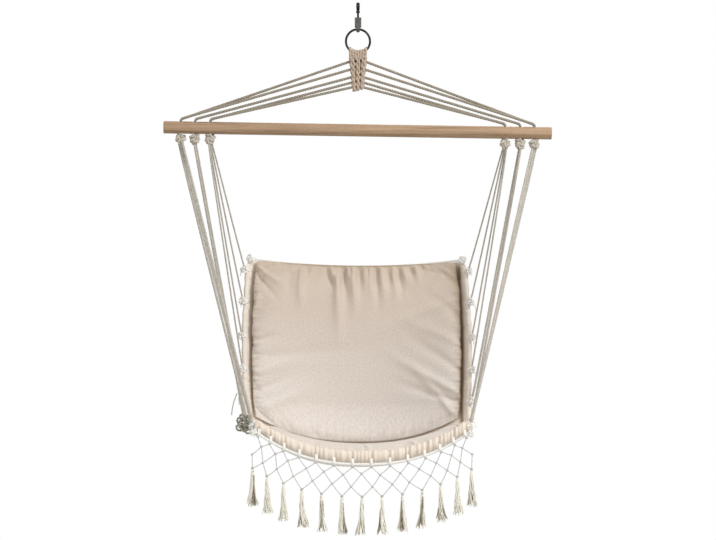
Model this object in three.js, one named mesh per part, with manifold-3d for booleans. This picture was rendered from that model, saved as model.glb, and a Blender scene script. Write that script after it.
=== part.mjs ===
// Padded hammock chair: a swivel, a ring, a knotted cord head, a spreader bar,
// and a corded seat with a tasselled net.
// Millimetres, +Z up. The origin is where a hook bears inside the upper swivel eye, and the chair faces -Y.
import * as THREE from 'three';
import { mergeVertices } from 'three/addons/utils/BufferGeometryUtils.js';
import Module from 'manifold-3d';

const wasm = await Module();
wasm.setup();

// Gaps and overruns
const seatGap = 0.4;
const loopRoom = 12;
const clothGap = 1.2;
const cutOver = 4;

// Swivel
const eyeHoleRadius = 5;
const eyeWireRadius = 3;
const eyeWidthShare = 1.5;
const collarRadius = 5;
const collarHeight = 6;
const stemRadius = 2.8;
const stemShown = 12;
const bodyWidth = 16.5;
const bodyDepth = 20;
const bodyHeight = 25;
const bodyCornerRadius = 2.5;
const bodyRoof = 6;
const windowDepth = 13.4;
const windowHeight = 14;
const boreRadius = 3.2;
const washerRadius = 6;
const washerThickness = 1.4;
const nutAcross = 10;
const nutHeight = 5;
const stemPastNut = 0.8;
const bowHoleRadius = 6;
const bowWireRadius = 2.5;
const bowWidthShare = 1.8;

// Ring
const ringRadius = 31;
const ringWireRadius = 3;

// Head braid
const braidWrapRadius = 9;
const braidWrapHalfWidth = 24.6;
const braidTopHalfWidth = 22.5;
const braidFootHalfWidth = 14;
const braidLength = 91;
const braidDepthShare = 0.46;
const braidRows = 5;
const braidRowSwell = 1.8;
const braidRoundOff = 6;

// Spreader bar
const barRadius = 16;
const barLength = 1000;
const barEdge = 1.5;
const barDrop = 324;
const barTilt = THREE.MathUtils.degToRad(0.8);
const holeRadius = 8;
const holeInsets = [44, 81, 120];
const holePlaces = holeInsets.map((inset) => barLength / 2 - inset);
const cordsInHole = [2, 1, 2];

// Upper cords
const upperCordRadius = 3.7;
const pairSpread = 4;
const pairShareAtBraid = 0.25;
const bendRadius = 8;
const upperExitDrops = [23, 45, 66, 80, 93];

// Stopper knots
const knotRadius = 14;

// Side cords
const sideCordRadii = [3.4, 3.4, 2.3];
const loopWireRadius = 2;
const cordFanSpreads = [7.4, 7.4, 5.2];
const cordFanAcross = [0.75, -0.5, -0.6];
const loopPlaces = [28, 112, 204, 290, 372, 480, 610, 725, 812];
const loopHoles = [2, 2, 2, 2, 1, 1, 0, 0, 0];

// Seat outline in the side view, along its side edges
const backTop = { y: 134.3, z: -659 };
const creaseCorner = { y: 57.3, z: -1086 };
const frontEdge = { y: -365.7, z: -1076 };
const creaseRadius = 70;
const seatLean = THREE.MathUtils.degToRad(0.4);

// Seat canvas
const canvasThickness = 3;
const canvasTopHalf = 284;
const canvasMidHalf = 292;
const canvasRearHalf = 288;
const canvasFrontHalf = 254;
const canvasCornerRadius = 20;
const sagTop = 42;
const sagCrease = 108;
const sagFront = 75;
const sagShapePower = 2.35;
const topDroop = 12;
const topDroopReach = 150;
const gatherDepth = 2.2;
const gatherReach = 22;
const canvasColumns = 20;

// Pads
const padThickness = 40;
const padEdgeThickness = 16;
const backPadTopHalf = 271;
const backPadMidHalf = 277;
const backPadFootHalf = 273;
const seatPadRearHalf = 268;
const seatPadFrontHalf = 238;
const backPadStart = -5;
const padCreaseGap = 8;
const padFrontInset = 16;
const padColumns = 18;
const padRows = 12;
const padCornerPower = 7;
const padCornerPullShare = 0.03;
const padCornerPullPower = 4;
const padCrownShare = 0.35;
const padCrownPower = 2.6;

// Ropes
const ropeRadius = 4;

// Fringe
const netLoops = 14;
const netReachShare = 0.97;
const netCrowdShare = 0.12;
const netLeanShare = 0.65;
const netCordRadius = 1.25;
const netKnotRadius = 2.7;
const netRowDrops = [24, 51, 78];
const tasselLength = 94;
const tasselNeckRadius = 3.4;
const tasselHeadRadius = 5.5;
const tasselMiddleRadius = 8;
const tasselFootRadius = 12.5;
const tasselHeadShare = 0.1;
const tasselNeckShare = 0.18;
const tasselMiddleShare = 0.45;
const netBendSwell = 1.25;

// Faces on round shapes
const wireSides = 8;
const cordSides = 8;
const loopSides = 8;
const loopWireSides = 6;
const barSides = 24;
const boltSides = 16;
const nutSides = 6;
const holeSides = 12;
const braidSides = 16;
const wrapSides = 10;
const knotSides = 12;
const knotRings = 8;
const netCordSides = 4;
const netKnotSides = 6;
const netKnotRings = 4;
const tasselSides = 8;

// Steps along curved shapes
const eyeSteps = 24;
const ringSteps = 36;
const blockCornerSteps = 4;
const wrapSteps = 12;
const stepsPerBraidRow = 3;
const bendSteps = 4;
const hemCornerSteps = 5;
const hemTopSteps = 16;
const canvasBackSteps = 5;
const canvasCreaseSteps = 4;
const canvasSeatSteps = 5;
const frontRopeSteps = 26;
const ropeSamples = 200;

// Places worked out from the sizes above
const eyeCentreZ = -eyeHoleRadius;
const eyeRadius = eyeHoleRadius + eyeWireRadius;
const eyeFootZ = eyeCentreZ - eyeRadius - eyeWireRadius;
const collarTopZ = eyeFootZ + eyeWireRadius / 2;
const collarFootZ = collarTopZ - collarHeight - eyeWireRadius / 2;
const bodyTopZ = collarFootZ - stemShown;
const bodyFootZ = bodyTopZ - bodyHeight;
const roofZ = bodyTopZ - bodyRoof;
const washerTopZ = roofZ - seatGap;
const nutTopZ = washerTopZ - washerThickness - seatGap;
const stemFootZ = nutTopZ - nutHeight - stemPastNut;
const bowCentreZ = bodyFootZ - bowWireRadius + seatGap;
const ringTopZ = bowCentreZ - bowHoleRadius + ringWireRadius + seatGap;
const ringCentreZ = ringTopZ - ringRadius;
const ringFootZ = ringCentreZ - ringRadius;
const braidFootZ = ringFootZ - braidWrapRadius / 2 - braidLength;
const knotDrop = barRadius + Math.sqrt((knotRadius + seatGap) ** 2 - holeRadius ** 2);
const upperCordFoot = knotRadius + seatGap - knotDrop;
const ropeClearRadius = (ropeRadius + seatGap) / Math.cos(Math.PI / loopSides);
const loopRadius = ropeClearRadius + loopWireRadius;
const netLoopRadius = ropeClearRadius + netCordRadius;
const frontRopeHalf = canvasFrontHalf + ropeRadius * 2 + seatGap;

// Solids
function solidOf(geometry) {
  const plain = geometry.clone();
  plain.deleteAttribute('normal');
  plain.deleteAttribute('uv');
  const merged = mergeVertices(plain);
  return new wasm.Manifold(new wasm.Mesh({
    numProp: 3,
    vertProperties: new Float32Array(merged.attributes.position.array),
    triVerts: new Uint32Array(merged.index.array),
  }));
}

function geometryOf(solid) {
  const mesh = solid.getMesh();
  const geometry = new THREE.BufferGeometry();
  geometry.setAttribute('position', new THREE.Float32BufferAttribute(mesh.vertProperties, mesh.numProp));
  geometry.setIndex(Array.from(mesh.triVerts));
  geometry.computeVertexNormals();
  return geometry;
}

function joined(geometries) {
  const solids = geometries.map(solidOf);
  return geometryOf(solids.slice(1).reduce((whole, next) => whole.add(next), solids[0]));
}

function cutFrom(geometry, tools) {
  return geometryOf(tools.reduce((left, tool) => left.subtract(solidOf(tool)), solidOf(geometry)));
}

// A path through chosen points, taken in even steps of the list and not of the length.
class PointPath extends THREE.Curve {
  constructor(points) {
    super();
    this.points = points;
  }

  getPoint(t, target = new THREE.Vector3()) {
    const place = t * (this.points.length - 1);
    const first = Math.min(Math.floor(place), this.points.length - 2);
    return target.lerpVectors(this.points[first], this.points[first + 1], place - first);
  }

  getPointAt(u, target) {
    return this.getPoint(u, target);
  }

  getTangentAt(u, target = new THREE.Vector3()) {
    const last = this.points.length - 1;
    const index = Math.round(u * last);
    const before = this.points[Math.max(index - 1, 0)];
    const after = this.points[Math.min(index + 1, last)];
    return target.subVectors(after, before).normalize();
  }

  getSpacedPoints(steps) {
    return Array.from({ length: steps + 1 }, (_, i) => this.getPoint(i / steps));
  }
}

function roundSection(radius, sides) {
  const corners = Array.from({ length: sides }, (_, i) => {
    const turn = (i / sides) * Math.PI * 2;
    return new THREE.Vector2(Math.cos(turn), Math.sin(turn)).multiplyScalar(radius);
  });
  return new THREE.Shape(corners);
}

function tube(points, radius, sides) {
  return new THREE.ExtrudeGeometry(roundSection(radius, sides), {
    steps: points.length - 1,
    extrudePath: new PointPath(points),
  });
}

function rod(from, to, radius, sides) {
  const along = new THREE.Vector3().subVectors(to, from);
  const geometry = new THREE.CylinderGeometry(radius, radius, along.length(), sides);
  geometry.applyQuaternion(new THREE.Quaternion().setFromUnitVectors(alongY, along.clone().normalize()));
  const middle = new THREE.Vector3().addVectors(from, to).multiplyScalar(1 / 2);
  return geometry.translate(middle.x, middle.y, middle.z);
}

// A wire ring round an axis through a centre.
function wireRing(centre, axis, radius, wire, sides, steps) {
  const geometry = new THREE.TorusGeometry(radius, wire, sides, steps);
  geometry.applyQuaternion(new THREE.Quaternion().setFromUnitVectors(new THREE.Vector3(0, 0, 1), axis));
  return geometry.translate(centre.x, centre.y, centre.z);
}

function ball(centre, radius, around, up) {
  const geometry = new THREE.SphereGeometry(radius, around, up).rotateX(Math.PI / 2);
  return geometry.translate(centre.x, centre.y, centre.z);
}

// A lathe profile is drawn with its height along y, and stands up here along +Z.
function upright(lathe) {
  return lathe.rotateX(Math.PI / 2);
}

const alongX = new THREE.Vector3(1, 0, 0);
const alongY = new THREE.Vector3(0, 1, 0);

function smooth(t) {
  const held = THREE.MathUtils.clamp(t, 0, 1);
  return held * held * (3 - 2 * held);
}

// A value that eases from station to station along the seat.
function through(stations, place) {
  let value = stations[0].value;
  for (let i = 1; i < stations.length; i += 1) {
    const from = stations[i - 1];
    const span = stations[i].at - from.at;
    value += (stations[i].value - from.value) * smooth((place - from.at) / span);
  }
  return value;
}

// Swivel pieces
function upperEye() {
  const centre = new THREE.Vector3(0, 0, eyeCentreZ);
  const eye = wireRing(centre, alongX, eyeRadius, eyeWireRadius, wireSides, eyeSteps);
  eye.scale(eyeWidthShare, 1, 1);
  const profile = [
    new THREE.Vector2(0, stemFootZ),
    new THREE.Vector2(stemRadius, stemFootZ),
    new THREE.Vector2(stemRadius, collarFootZ),
    new THREE.Vector2(collarRadius, collarFootZ),
    new THREE.Vector2(collarRadius, collarTopZ - collarHeight / 2),
    new THREE.Vector2(stemRadius, collarTopZ),
    new THREE.Vector2(0, collarTopZ),
  ];
  return joined([eye, upright(new THREE.LatheGeometry(profile, boltSides))]);
}

function thrustWasher() {
  const inside = stemRadius + seatGap;
  const footZ = washerTopZ - washerThickness;
  const profile = [
    new THREE.Vector2(inside, footZ),
    new THREE.Vector2(washerRadius, footZ),
    new THREE.Vector2(washerRadius, washerTopZ),
    new THREE.Vector2(inside, washerTopZ),
    new THREE.Vector2(inside, footZ),
  ];
  return upright(new THREE.LatheGeometry(profile, boltSides));
}

function retainingNut() {
  const corner = nutAcross / 2 / Math.cos(Math.PI / nutSides);
  const outline = roundSection(corner, nutSides);
  outline.holes.push(new THREE.Path(roundSection(stemRadius + seatGap, boltSides).getPoints().reverse()));
  const nut = new THREE.ExtrudeGeometry(outline, { depth: nutHeight, bevelEnabled: false });
  return nut.translate(0, 0, nutTopZ - nutHeight);
}

function swivelBody() {
  const halfDepth = bodyDepth / 2 - bodyCornerRadius;
  const outline = new THREE.Shape();
  outline.absarc(halfDepth, bodyFootZ + bodyCornerRadius, bodyCornerRadius, -Math.PI / 2, 0, false);
  outline.absarc(halfDepth, bodyTopZ - bodyCornerRadius, bodyCornerRadius, 0, Math.PI / 2, false);
  outline.absarc(-halfDepth, bodyTopZ - bodyCornerRadius, bodyCornerRadius, Math.PI / 2, Math.PI, false);
  outline.absarc(-halfDepth, bodyFootZ + bodyCornerRadius, bodyCornerRadius, Math.PI, Math.PI * 1.5, false);
  const block = new THREE.ExtrudeGeometry(outline, {
    depth: bodyWidth,
    bevelEnabled: false,
    curveSegments: blockCornerSteps,
  });
  block.translate(0, 0, -bodyWidth / 2).rotateX(Math.PI / 2).rotateZ(Math.PI / 2);
  const window = new THREE.BoxGeometry(bodyWidth + cutOver, windowDepth, windowHeight);
  window.translate(0, 0, roofZ - windowHeight / 2);
  const bore = rod(
    new THREE.Vector3(0, 0, roofZ - cutOver),
    new THREE.Vector3(0, 0, bodyTopZ + cutOver),
    boreRadius,
    boltSides,
  );
  const bow = wireRing(
    new THREE.Vector3(0, 0, bowCentreZ),
    alongX,
    bowHoleRadius + bowWireRadius,
    bowWireRadius,
    wireSides,
    eyeSteps,
  );
  bow.scale(bowWidthShare, 1, 1);
  return joined([cutFrom(block, [window, bore]), cutFrom(bow, [window])]);
}

function hangingRing() {
  const centre = new THREE.Vector3(0, 0, ringCentreZ);
  return wireRing(centre, alongY, ringRadius, ringWireRadius, wireSides, ringSteps);
}

// Head braid: a flat tapering plait with a rounded row for each knot, hung over the ring's lower arc.
function braidHalfWidth(down) {
  const share = down / braidLength;
  const taper = THREE.MathUtils.lerp(braidTopHalfWidth, braidFootHalfWidth, share);
  return taper - braidRowSwell * Math.abs(Math.cos(share * braidRows * Math.PI));
}

function braidBody(clearance) {
  const topZ = braidFootZ + braidLength;
  const stations = braidRows * stepsPerBraidRow;
  const profile = [new THREE.Vector2(0, braidFootZ - clearance)];
  profile.push(new THREE.Vector2(braidFootHalfWidth - braidRoundOff + clearance, braidFootZ - clearance));
  for (let i = stations - 1; i > 0; i -= 1) {
    const down = (i / stations) * braidLength;
    profile.push(new THREE.Vector2(braidHalfWidth(down) + clearance, topZ - down));
  }
  profile.push(new THREE.Vector2(braidTopHalfWidth - braidRowSwell + clearance, topZ + clearance));
  profile.push(new THREE.Vector2(0, topZ + clearance));
  const lathe = upright(new THREE.LatheGeometry(profile, braidSides));
  const depthShare = braidDepthShare + clearance / braidFootHalfWidth;
  return lathe.scale(1, depthShare, 1);
}

function headBraid() {
  const arc = Math.asin(braidWrapHalfWidth / ringRadius);
  const wrapPoints = Array.from({ length: wrapSteps + 1 }, (_, i) => {
    const turn = THREE.MathUtils.lerp(-arc, arc, i / wrapSteps);
    return new THREE.Vector3(Math.sin(turn), 0, -Math.cos(turn))
      .multiplyScalar(ringRadius)
      .add(new THREE.Vector3(0, 0, ringCentreZ));
  });
  const wrap = tube(wrapPoints, braidWrapRadius, wrapSides);
  const tunnel = wireRing(
    new THREE.Vector3(0, 0, ringCentreZ),
    alongY,
    ringRadius,
    ringWireRadius + seatGap,
    wireSides,
    ringSteps,
  );
  return cutFrom(joined([wrap, braidBody(0)]), [tunnel]);
}

// Spreader bar, which hangs a little out of level
const barTurn = new THREE.Quaternion().setFromAxisAngle(alongY, barTilt);

function onBar(x, y, up) {
  return new THREE.Vector3(x, y, up).applyQuaternion(barTurn).add(new THREE.Vector3(0, 0, -barDrop));
}

function spreaderBar() {
  const half = barLength / 2;
  const profile = [
    new THREE.Vector2(0, -half),
    new THREE.Vector2(barRadius - barEdge, -half),
    new THREE.Vector2(barRadius, -half + barEdge),
    new THREE.Vector2(barRadius, half - barEdge),
    new THREE.Vector2(barRadius - barEdge, half),
    new THREE.Vector2(0, half),
  ];
  const bar = new THREE.LatheGeometry(profile, barSides);
  bar.rotateZ(-Math.PI / 2);
  bar.applyQuaternion(barTurn).translate(0, 0, -barDrop);
  const reach = barRadius + cutOver;
  const holes = holePlaces.flatMap((place) => [-place, place])
    .map((x) => rod(onBar(x, 0, -reach), onBar(x, 0, reach), holeRadius, holeSides));
  return cutFrom(bar, holes);
}

// Upper cords run from the braid to a hole, bend over its rim and go down to the knot.
function upperCord(side, hole, pairPlace, exitDrop) {
  const holeX = side * holePlaces[hole];
  const across = pairPlace * pairSpread;
  const start = new THREE.Vector3(0, across * pairShareAtBraid, ringFootZ - exitDrop + braidWrapRadius);
  const rim = onBar(holeX, across, barRadius);
  const slope = Math.atan2(start.z - rim.z, Math.abs(rim.x));
  const bend = Math.PI / 2 - slope;
  const points = [start];
  for (let i = 0; i <= bendSteps; i += 1) {
    const turn = bend * (1 - i / bendSteps);
    const inward = bendRadius * (1 - Math.cos(turn));
    points.push(onBar(holeX - side * inward, across, barRadius + bendRadius * Math.sin(turn)));
  }
  points.push(onBar(holeX, across, upperCordFoot));
  return cutFrom(tube(points, upperCordRadius, cordSides), [braidBody(seatGap)]);
}

function upperCords() {
  const cords = [];
  for (const side of [-1, 1]) {
    let number = 0;
    cordsInHole.forEach((count, hole) => {
      for (let i = 0; i < count; i += 1) {
        const pairPlace = count === 1 ? 0 : 1 - 2 * i;
        const name = `upper_cord_${side < 0 ? 'left' : 'right'}_${number + 1}`;
        cords.push([name, upperCord(side, hole, pairPlace, upperExitDrops[number])]);
        number += 1;
      }
    });
  }
  return cords;
}

function knotCentre(side, hole) {
  return onBar(side * holePlaces[hole], 0, -knotDrop);
}

function stopperKnot(side, hole) {
  return ball(knotCentre(side, hole), knotRadius, knotSides, knotRings);
}

// Seat surface: the side edges follow a rounded corner line,
// and the cloth between them sags away from the sitter.
const seatLine = (() => {
  const back = new THREE.Vector2(creaseCorner.y - backTop.y, creaseCorner.z - backTop.z);
  const seat = new THREE.Vector2(frontEdge.y - creaseCorner.y, frontEdge.z - creaseCorner.z);
  const backAngle = Math.atan2(back.y, back.x);
  let turn = Math.atan2(seat.y, seat.x) - backAngle;
  if (turn > Math.PI) {
    turn -= Math.PI * 2;
  }
  const trim = creaseRadius * Math.tan(Math.abs(turn) / 2);
  return {
    backAngle,
    turn,
    backLength: back.length() - trim,
    arcLength: creaseRadius * Math.abs(turn),
    seatLength: seat.length() - trim,
  };
})();
const seatLength = seatLine.backLength + seatLine.arcLength + seatLine.seatLength;
const creasePlace = seatLine.backLength + seatLine.arcLength / 2;

// The point and direction of the side edge at a distance along it, in the side view.
function edgeAt(place) {
  const onBack = Math.min(place, seatLine.backLength);
  const onArc = THREE.MathUtils.clamp(place - seatLine.backLength, 0, seatLine.arcLength);
  const onSeat = Math.max(place - seatLine.backLength - seatLine.arcLength, 0);
  const start = new THREE.Vector2(Math.cos(seatLine.backAngle), Math.sin(seatLine.backAngle));
  const arcTurn = seatLine.turn * (onArc / seatLine.arcLength);
  const angle = seatLine.backAngle + arcTurn;
  const along = new THREE.Vector2(Math.cos(angle), Math.sin(angle));
  const chord = 2 * creaseRadius * Math.sin(Math.abs(arcTurn) / 2);
  const chordAngle = seatLine.backAngle + arcTurn / 2;
  const point = new THREE.Vector2(backTop.y, backTop.z)
    .addScaledVector(start, onBack)
    .addScaledVector(new THREE.Vector2(Math.cos(chordAngle), Math.sin(chordAngle)), chord)
    .addScaledVector(along, onSeat);
  return { point, along, outward: new THREE.Vector2(-along.y, along.x) };
}

const sagStations = [
  { at: 0, value: sagTop },
  { at: creasePlace, value: sagCrease },
  { at: seatLength, value: sagFront },
];
const canvasStations = [
  { at: 0, value: canvasTopHalf },
  { at: seatLength / 4, value: canvasMidHalf },
  { at: seatLength / 2, value: canvasRearHalf },
  { at: seatLength, value: canvasFrontHalf },
];

// A point of the cloth at x across and a distance along, raised towards the sitter by lift.
function onSeat(x, place, lift = 0) {
  const { point, along, outward } = edgeAt(place);
  const share = Math.min(Math.abs(x) / through(canvasStations, place), 1);
  const sag = through(sagStations, place) * (1 - share ** sagShapePower);
  const droop = topDroop * (1 - share ** 2) * (1 - smooth(place / topDroopReach));
  return new THREE.Vector3(
    x,
    point.x + outward.x * (sag - lift) + along.x * droop,
    point.y + outward.y * (sag - lift) + along.y * droop - x * Math.sin(seatLean),
  );
}

// A closed sheet or pad from an upper and a lower grid of points with the same edge order.
function closedGrids(upper, lower) {
  const rows = upper.length;
  const columns = upper[0].length;
  const positions = [...upper.flat(), ...lower.flat()].flatMap((p) => [p.x, p.y, p.z]);
  const place = (layer, row, column) => layer * rows * columns + row * columns + column;
  const end = columns - 1;
  const foot = rows - 1;
  const faces = [];
  const quad = (a, b, c, d) => faces.push(a, b, c, a, c, d);
  for (let r = 0; r < rows - 1; r += 1) {
    for (let c = 0; c < columns - 1; c += 1) {
      quad(place(0, r, c), place(0, r + 1, c), place(0, r + 1, c + 1), place(0, r, c + 1));
      quad(place(1, r, c), place(1, r, c + 1), place(1, r + 1, c + 1), place(1, r + 1, c));
    }
    quad(place(0, r, 0), place(1, r, 0), place(1, r + 1, 0), place(0, r + 1, 0));
    quad(place(0, r, end), place(0, r + 1, end), place(1, r + 1, end), place(1, r, end));
  }
  for (let c = 0; c < columns - 1; c += 1) {
    quad(place(0, 0, c), place(0, 0, c + 1), place(1, 0, c + 1), place(1, 0, c));
    quad(place(0, foot, c), place(1, foot, c), place(1, foot, c + 1), place(0, foot, c + 1));
  }
  const geometry = new THREE.BufferGeometry();
  geometry.setAttribute('position', new THREE.Float32BufferAttribute(positions, 3));
  geometry.setIndex(faces);
  geometry.computeVertexNormals();
  return geometry;
}

// Canvas
function canvasHalfAt(place) {
  const fromTop = Math.min(place, canvasCornerRadius);
  const reach = Math.sqrt(canvasCornerRadius ** 2 - (canvasCornerRadius - fromTop) ** 2);
  return through(canvasStations, place) - canvasCornerRadius + reach;
}

function canvasRows() {
  const spread = (from, to, count) => Array.from({ length: count }, (_, i) => {
    return from + ((to - from) * i) / count;
  });
  const arcStart = seatLine.backLength;
  const arcEnd = arcStart + seatLine.arcLength;
  return [
    0,
    canvasCornerRadius / 4,
    canvasCornerRadius / 2,
    ...spread(canvasCornerRadius, arcStart, canvasBackSteps),
    ...spread(arcStart, arcEnd, canvasCreaseSteps),
    ...spread(arcEnd, seatLength - gatherReach, canvasSeatSteps),
    seatLength - gatherReach,
    seatLength - gatherReach / 2,
    seatLength,
  ];
}

function seatCanvas() {
  const columns = Array.from({ length: canvasColumns + 1 }, (_, c) => c);
  const layer = (lift) => canvasRows().map((place) => columns.map((c) => {
    const x = canvasHalfAt(place) * ((2 * c) / canvasColumns - 1);
    const nearFront = THREE.MathUtils.clamp(1 - (seatLength - place) / gatherReach, 0, 1);
    const gather = gatherDepth * nearFront * (c % 2 === 0 ? 1 : -1);
    return onSeat(x, place, lift + gather);
  }));
  const sheet = closedGrids(layer(canvasThickness / 2), layer(-canvasThickness / 2));
  return cutFrom(sheet, loopNotches());
}

// Pads: crowned closed forms with drawn-in rims
function pad(start, end, halfStations) {
  const rows = [];
  const foot = [];
  const lowest = canvasThickness / 2 + clothGap;
  for (let r = 0; r <= padRows; r += 1) {
    const b = Math.sin((r / padRows - 1 / 2) * Math.PI);
    const top = [];
    const under = [];
    for (let c = 0; c <= padColumns; c += 1) {
      const a = Math.sin(((2 * c) / padColumns - 1) * (Math.PI / 2));
      const fullness = (1 - Math.abs(a) ** padCornerPower) * (1 - Math.abs(b) ** padCornerPower);
      const cornerPull = 1 - padCornerPullShare * (a * b) ** padCornerPullPower;
      const place = THREE.MathUtils.lerp(start, end, (1 + b * cornerPull) / 2);
      const x = through(halfStations, place) * a * cornerPull;
      const crown = (1 - Math.abs(a) ** padCrownPower) * (1 - Math.abs(b) ** padCrownPower);
      const swell = padThickness * (1 - padCrownShare * (1 - crown));
      const round = Math.sqrt(fullness);
      const middle = padEdgeThickness / 2;
      top.push(onSeat(x, place, lowest + middle + (swell - middle) * round));
      under.push(onSeat(x, place, lowest + middle - middle * round));
    }
    rows.push(top);
    foot.push(under);
  }
  return closedRim(rows, foot);
}

// Like closedGrids, for layers that share their rim points.
function closedRim(upper, lower) {
  const rows = upper.length;
  const columns = upper[0].length;
  const positions = [...upper.flat(), ...lower.flat()].flatMap((p) => [p.x, p.y, p.z]);
  const onRim = (r, c) => r === 0 || c === 0 || r === rows - 1 || c === columns - 1;
  const place = (layer, r, c) => (onRim(r, c) ? 0 : layer) * rows * columns + r * columns + c;
  const faces = [];
  for (let r = 0; r < rows - 1; r += 1) {
    for (let c = 0; c < columns - 1; c += 1) {
      for (const layer of [0, 1]) {
        const ring = [[r, c], [r + 1, c], [r + 1, c + 1], [r, c + 1]].map(([row, column]) => {
          return place(layer, row, column);
        });
        const [one, two, three, four] = layer === 0 ? ring : ring.reverse();
        faces.push(one, two, three, one, three, four);
      }
    }
  }
  const geometry = new THREE.BufferGeometry();
  geometry.setAttribute('position', new THREE.Float32BufferAttribute(positions, 3));
  geometry.setIndex(faces);
  geometry.computeVertexNormals();
  return geometry;
}

function backPad() {
  const backPadEnd = creasePlace - padCreaseGap / 2;
  return pad(backPadStart, backPadEnd, [
    { at: backPadStart, value: backPadTopHalf },
    { at: (backPadStart + backPadEnd) / 2, value: backPadMidHalf },
    { at: backPadEnd, value: backPadFootHalf },
  ]);
}

function seatPad() {
  const seatPadStart = creasePlace + padCreaseGap / 2;
  const end = seatLength - padFrontInset;
  return pad(seatPadStart, end, [
    { at: seatPadStart, value: seatPadRearHalf },
    { at: end, value: seatPadFrontHalf },
  ]);
}

// Ropes
function ropeBeside(side, place) {
  const at = onSeat(side * canvasHalfAt(place), place);
  return at.add(new THREE.Vector3(side * (ropeRadius + seatGap), 0, 0));
}

function hemRope() {
  const clearOfLoops = (place) => loopPlaces.every((loop) => Math.abs(loop - place) > loopRoom);
  const betweenLoops = canvasRows().filter((place) => place > loopPlaces[0] && clearOfLoops(place));
  const places = new Set([...loopPlaces, ...betweenLoops, seatLength]);
  const sidePlaces = [...places].sort((one, two) => two - one);
  const corner = canvasCornerRadius;
  const out = ropeRadius + seatGap;
  const left = sidePlaces.map((place) => ropeBeside(-1, place));
  const right = [...sidePlaces].reverse().map((place) => ropeBeside(1, place));
  const cornerPoint = (side, turn) => {
    const x = canvasTopHalf - corner + (corner + out) * Math.cos(turn);
    const place = corner - (corner + out) * Math.sin(turn);
    return onSeat(side * x, place);
  };
  const turns = Array.from({ length: hemCornerSteps + 1 }, (_, i) => (Math.PI / 2) * (i / hemCornerSteps));
  const leftCorner = turns.map((turn) => cornerPoint(-1, turn));
  const rightCorner = [...turns].reverse().map((turn) => cornerPoint(1, turn));
  const span = canvasTopHalf - corner;
  const top = Array.from({ length: hemTopSteps - 1 }, (_, i) => {
    const x = span * ((2 * (i + 1)) / hemTopSteps - 1);
    return onSeat(x, -out);
  });
  return tube([...left, ...leftCorner, ...top, ...rightCorner, ...right], ropeRadius, cordSides);
}

// The front rope hangs just ahead of the canvas, along the same curve.
function frontRopeAt(x) {
  return onSeat(x, seatLength).add(new THREE.Vector3(0, -(netLoopRadius + netCordRadius + seatGap), 0));
}

function frontRope() {
  const alongCanvas = Array.from({ length: frontRopeSteps + 1 }, (_, i) => {
    const share = (2 * i) / frontRopeSteps - 1;
    return canvasFrontHalf * share;
  });
  const points = [-frontRopeHalf, ...alongCanvas, frontRopeHalf].map(frontRopeAt);
  return tube(points, ropeRadius, cordSides);
}

// Side cord loops, tied round the hem rope
function loopOn(side, place) {
  const step = ropeRadius;
  const next = ropeBeside(side, place + step);
  const axis = new THREE.Vector3().subVectors(next, ropeBeside(side, place - step));
  return { centre: ropeBeside(side, place), axis: axis.normalize() };
}

function loopNotches() {
  const size = 2 * (loopRadius + loopWireRadius + seatGap);
  const length = 2 * (loopWireRadius + seatGap * 2);
  return [-1, 1].flatMap((side) => loopPlaces.map((place) => {
    const { centre, axis } = loopOn(side, place);
    const box = new THREE.BoxGeometry(size, size, length);
    const turn = new THREE.Matrix4().lookAt(axis, new THREE.Vector3(), alongX);
    return box.applyMatrix4(turn).translate(centre.x, centre.y, centre.z);
  }));
}

function sideCord(side, index) {
  const hole = loopHoles[index];
  const mates = loopHoles.map((h, i) => (h === hole ? i : -1)).filter((i) => i >= 0);
  const rank = mates.indexOf(index);
  const fan = ((mates.length - 1) / 2 - rank) * cordFanSpreads[hole];
  const cordRadius = sideCordRadii[hole];
  const knot = knotCentre(side, hole);
  const { centre, axis } = loopOn(side, loopPlaces[index]);
  const towards = new THREE.Vector3().subVectors(knot, centre);
  const square = towards.clone().addScaledVector(axis, -towards.dot(axis)).normalize();
  const foot = centre.clone().addScaledVector(square, ropeClearRadius + cordRadius);
  const across = cordFanAcross[hole];
  const outwards = new THREE.Vector3(
    side * fan * across,
    fan * Math.sqrt(1 - across ** 2),
    -Math.sqrt(knotRadius ** 2 - fan ** 2),
  ).normalize();
  const lean = outwards.angleTo(new THREE.Vector3().subVectors(foot, knot));
  const headReach = knotRadius + seatGap + cordRadius * Math.sin(lean);
  const head = knot.clone().addScaledVector(outwards, headReach);
  const loop = wireRing(centre, axis, loopRadius, loopWireRadius, loopWireSides, loopSides);
  return joined([loop, tube([foot, head], cordRadius, cordSides)]);
}

// Fringe net: rows of knots hung square to the front rope, joined corner to corner
const ropeLengths = (() => {
  const points = Array.from({ length: ropeSamples + 1 }, (_, i) => {
    const share = (2 * i) / ropeSamples - 1;
    return frontRopeAt(canvasFrontHalf * share);
  });
  const lengths = [0];
  points.slice(1).forEach((p, i) => lengths.push(lengths[i] + p.distanceTo(points[i])));
  return { points, lengths, whole: lengths[ropeSamples] };
})();

// The point of the front rope at a loop's place, counted from the middle, and the way that the net hangs
// there. The loops are a little closer at the ends.
function onFrontRope(place) {
  const share = place / ((netLoops - 1) / 2);
  const crowded = share * (1 + netCrowdShare) - netCrowdShare * share ** 3;
  const wanted = ((1 + netReachShare * crowded) / 2) * ropeLengths.whole;
  const { points, lengths } = ropeLengths;
  const next = Math.max(1, lengths.findIndex((length) => length >= wanted));
  const before = points[next - 1];
  const after = points[next];
  const within = (wanted - lengths[next - 1]) / (lengths[next] - lengths[next - 1]);
  const along = new THREE.Vector3().subVectors(after, before).normalize();
  const down = new THREE.Vector3(along.z * netLeanShare, 0, -along.x).normalize();
  return { point: before.clone().lerp(after, within), along, down };
}

function netKnot(row, place) {
  const { point, down } = onFrontRope(place);
  return row === 0 ? point : point.addScaledVector(down, netRowDrops[row - 1]);
}

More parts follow.
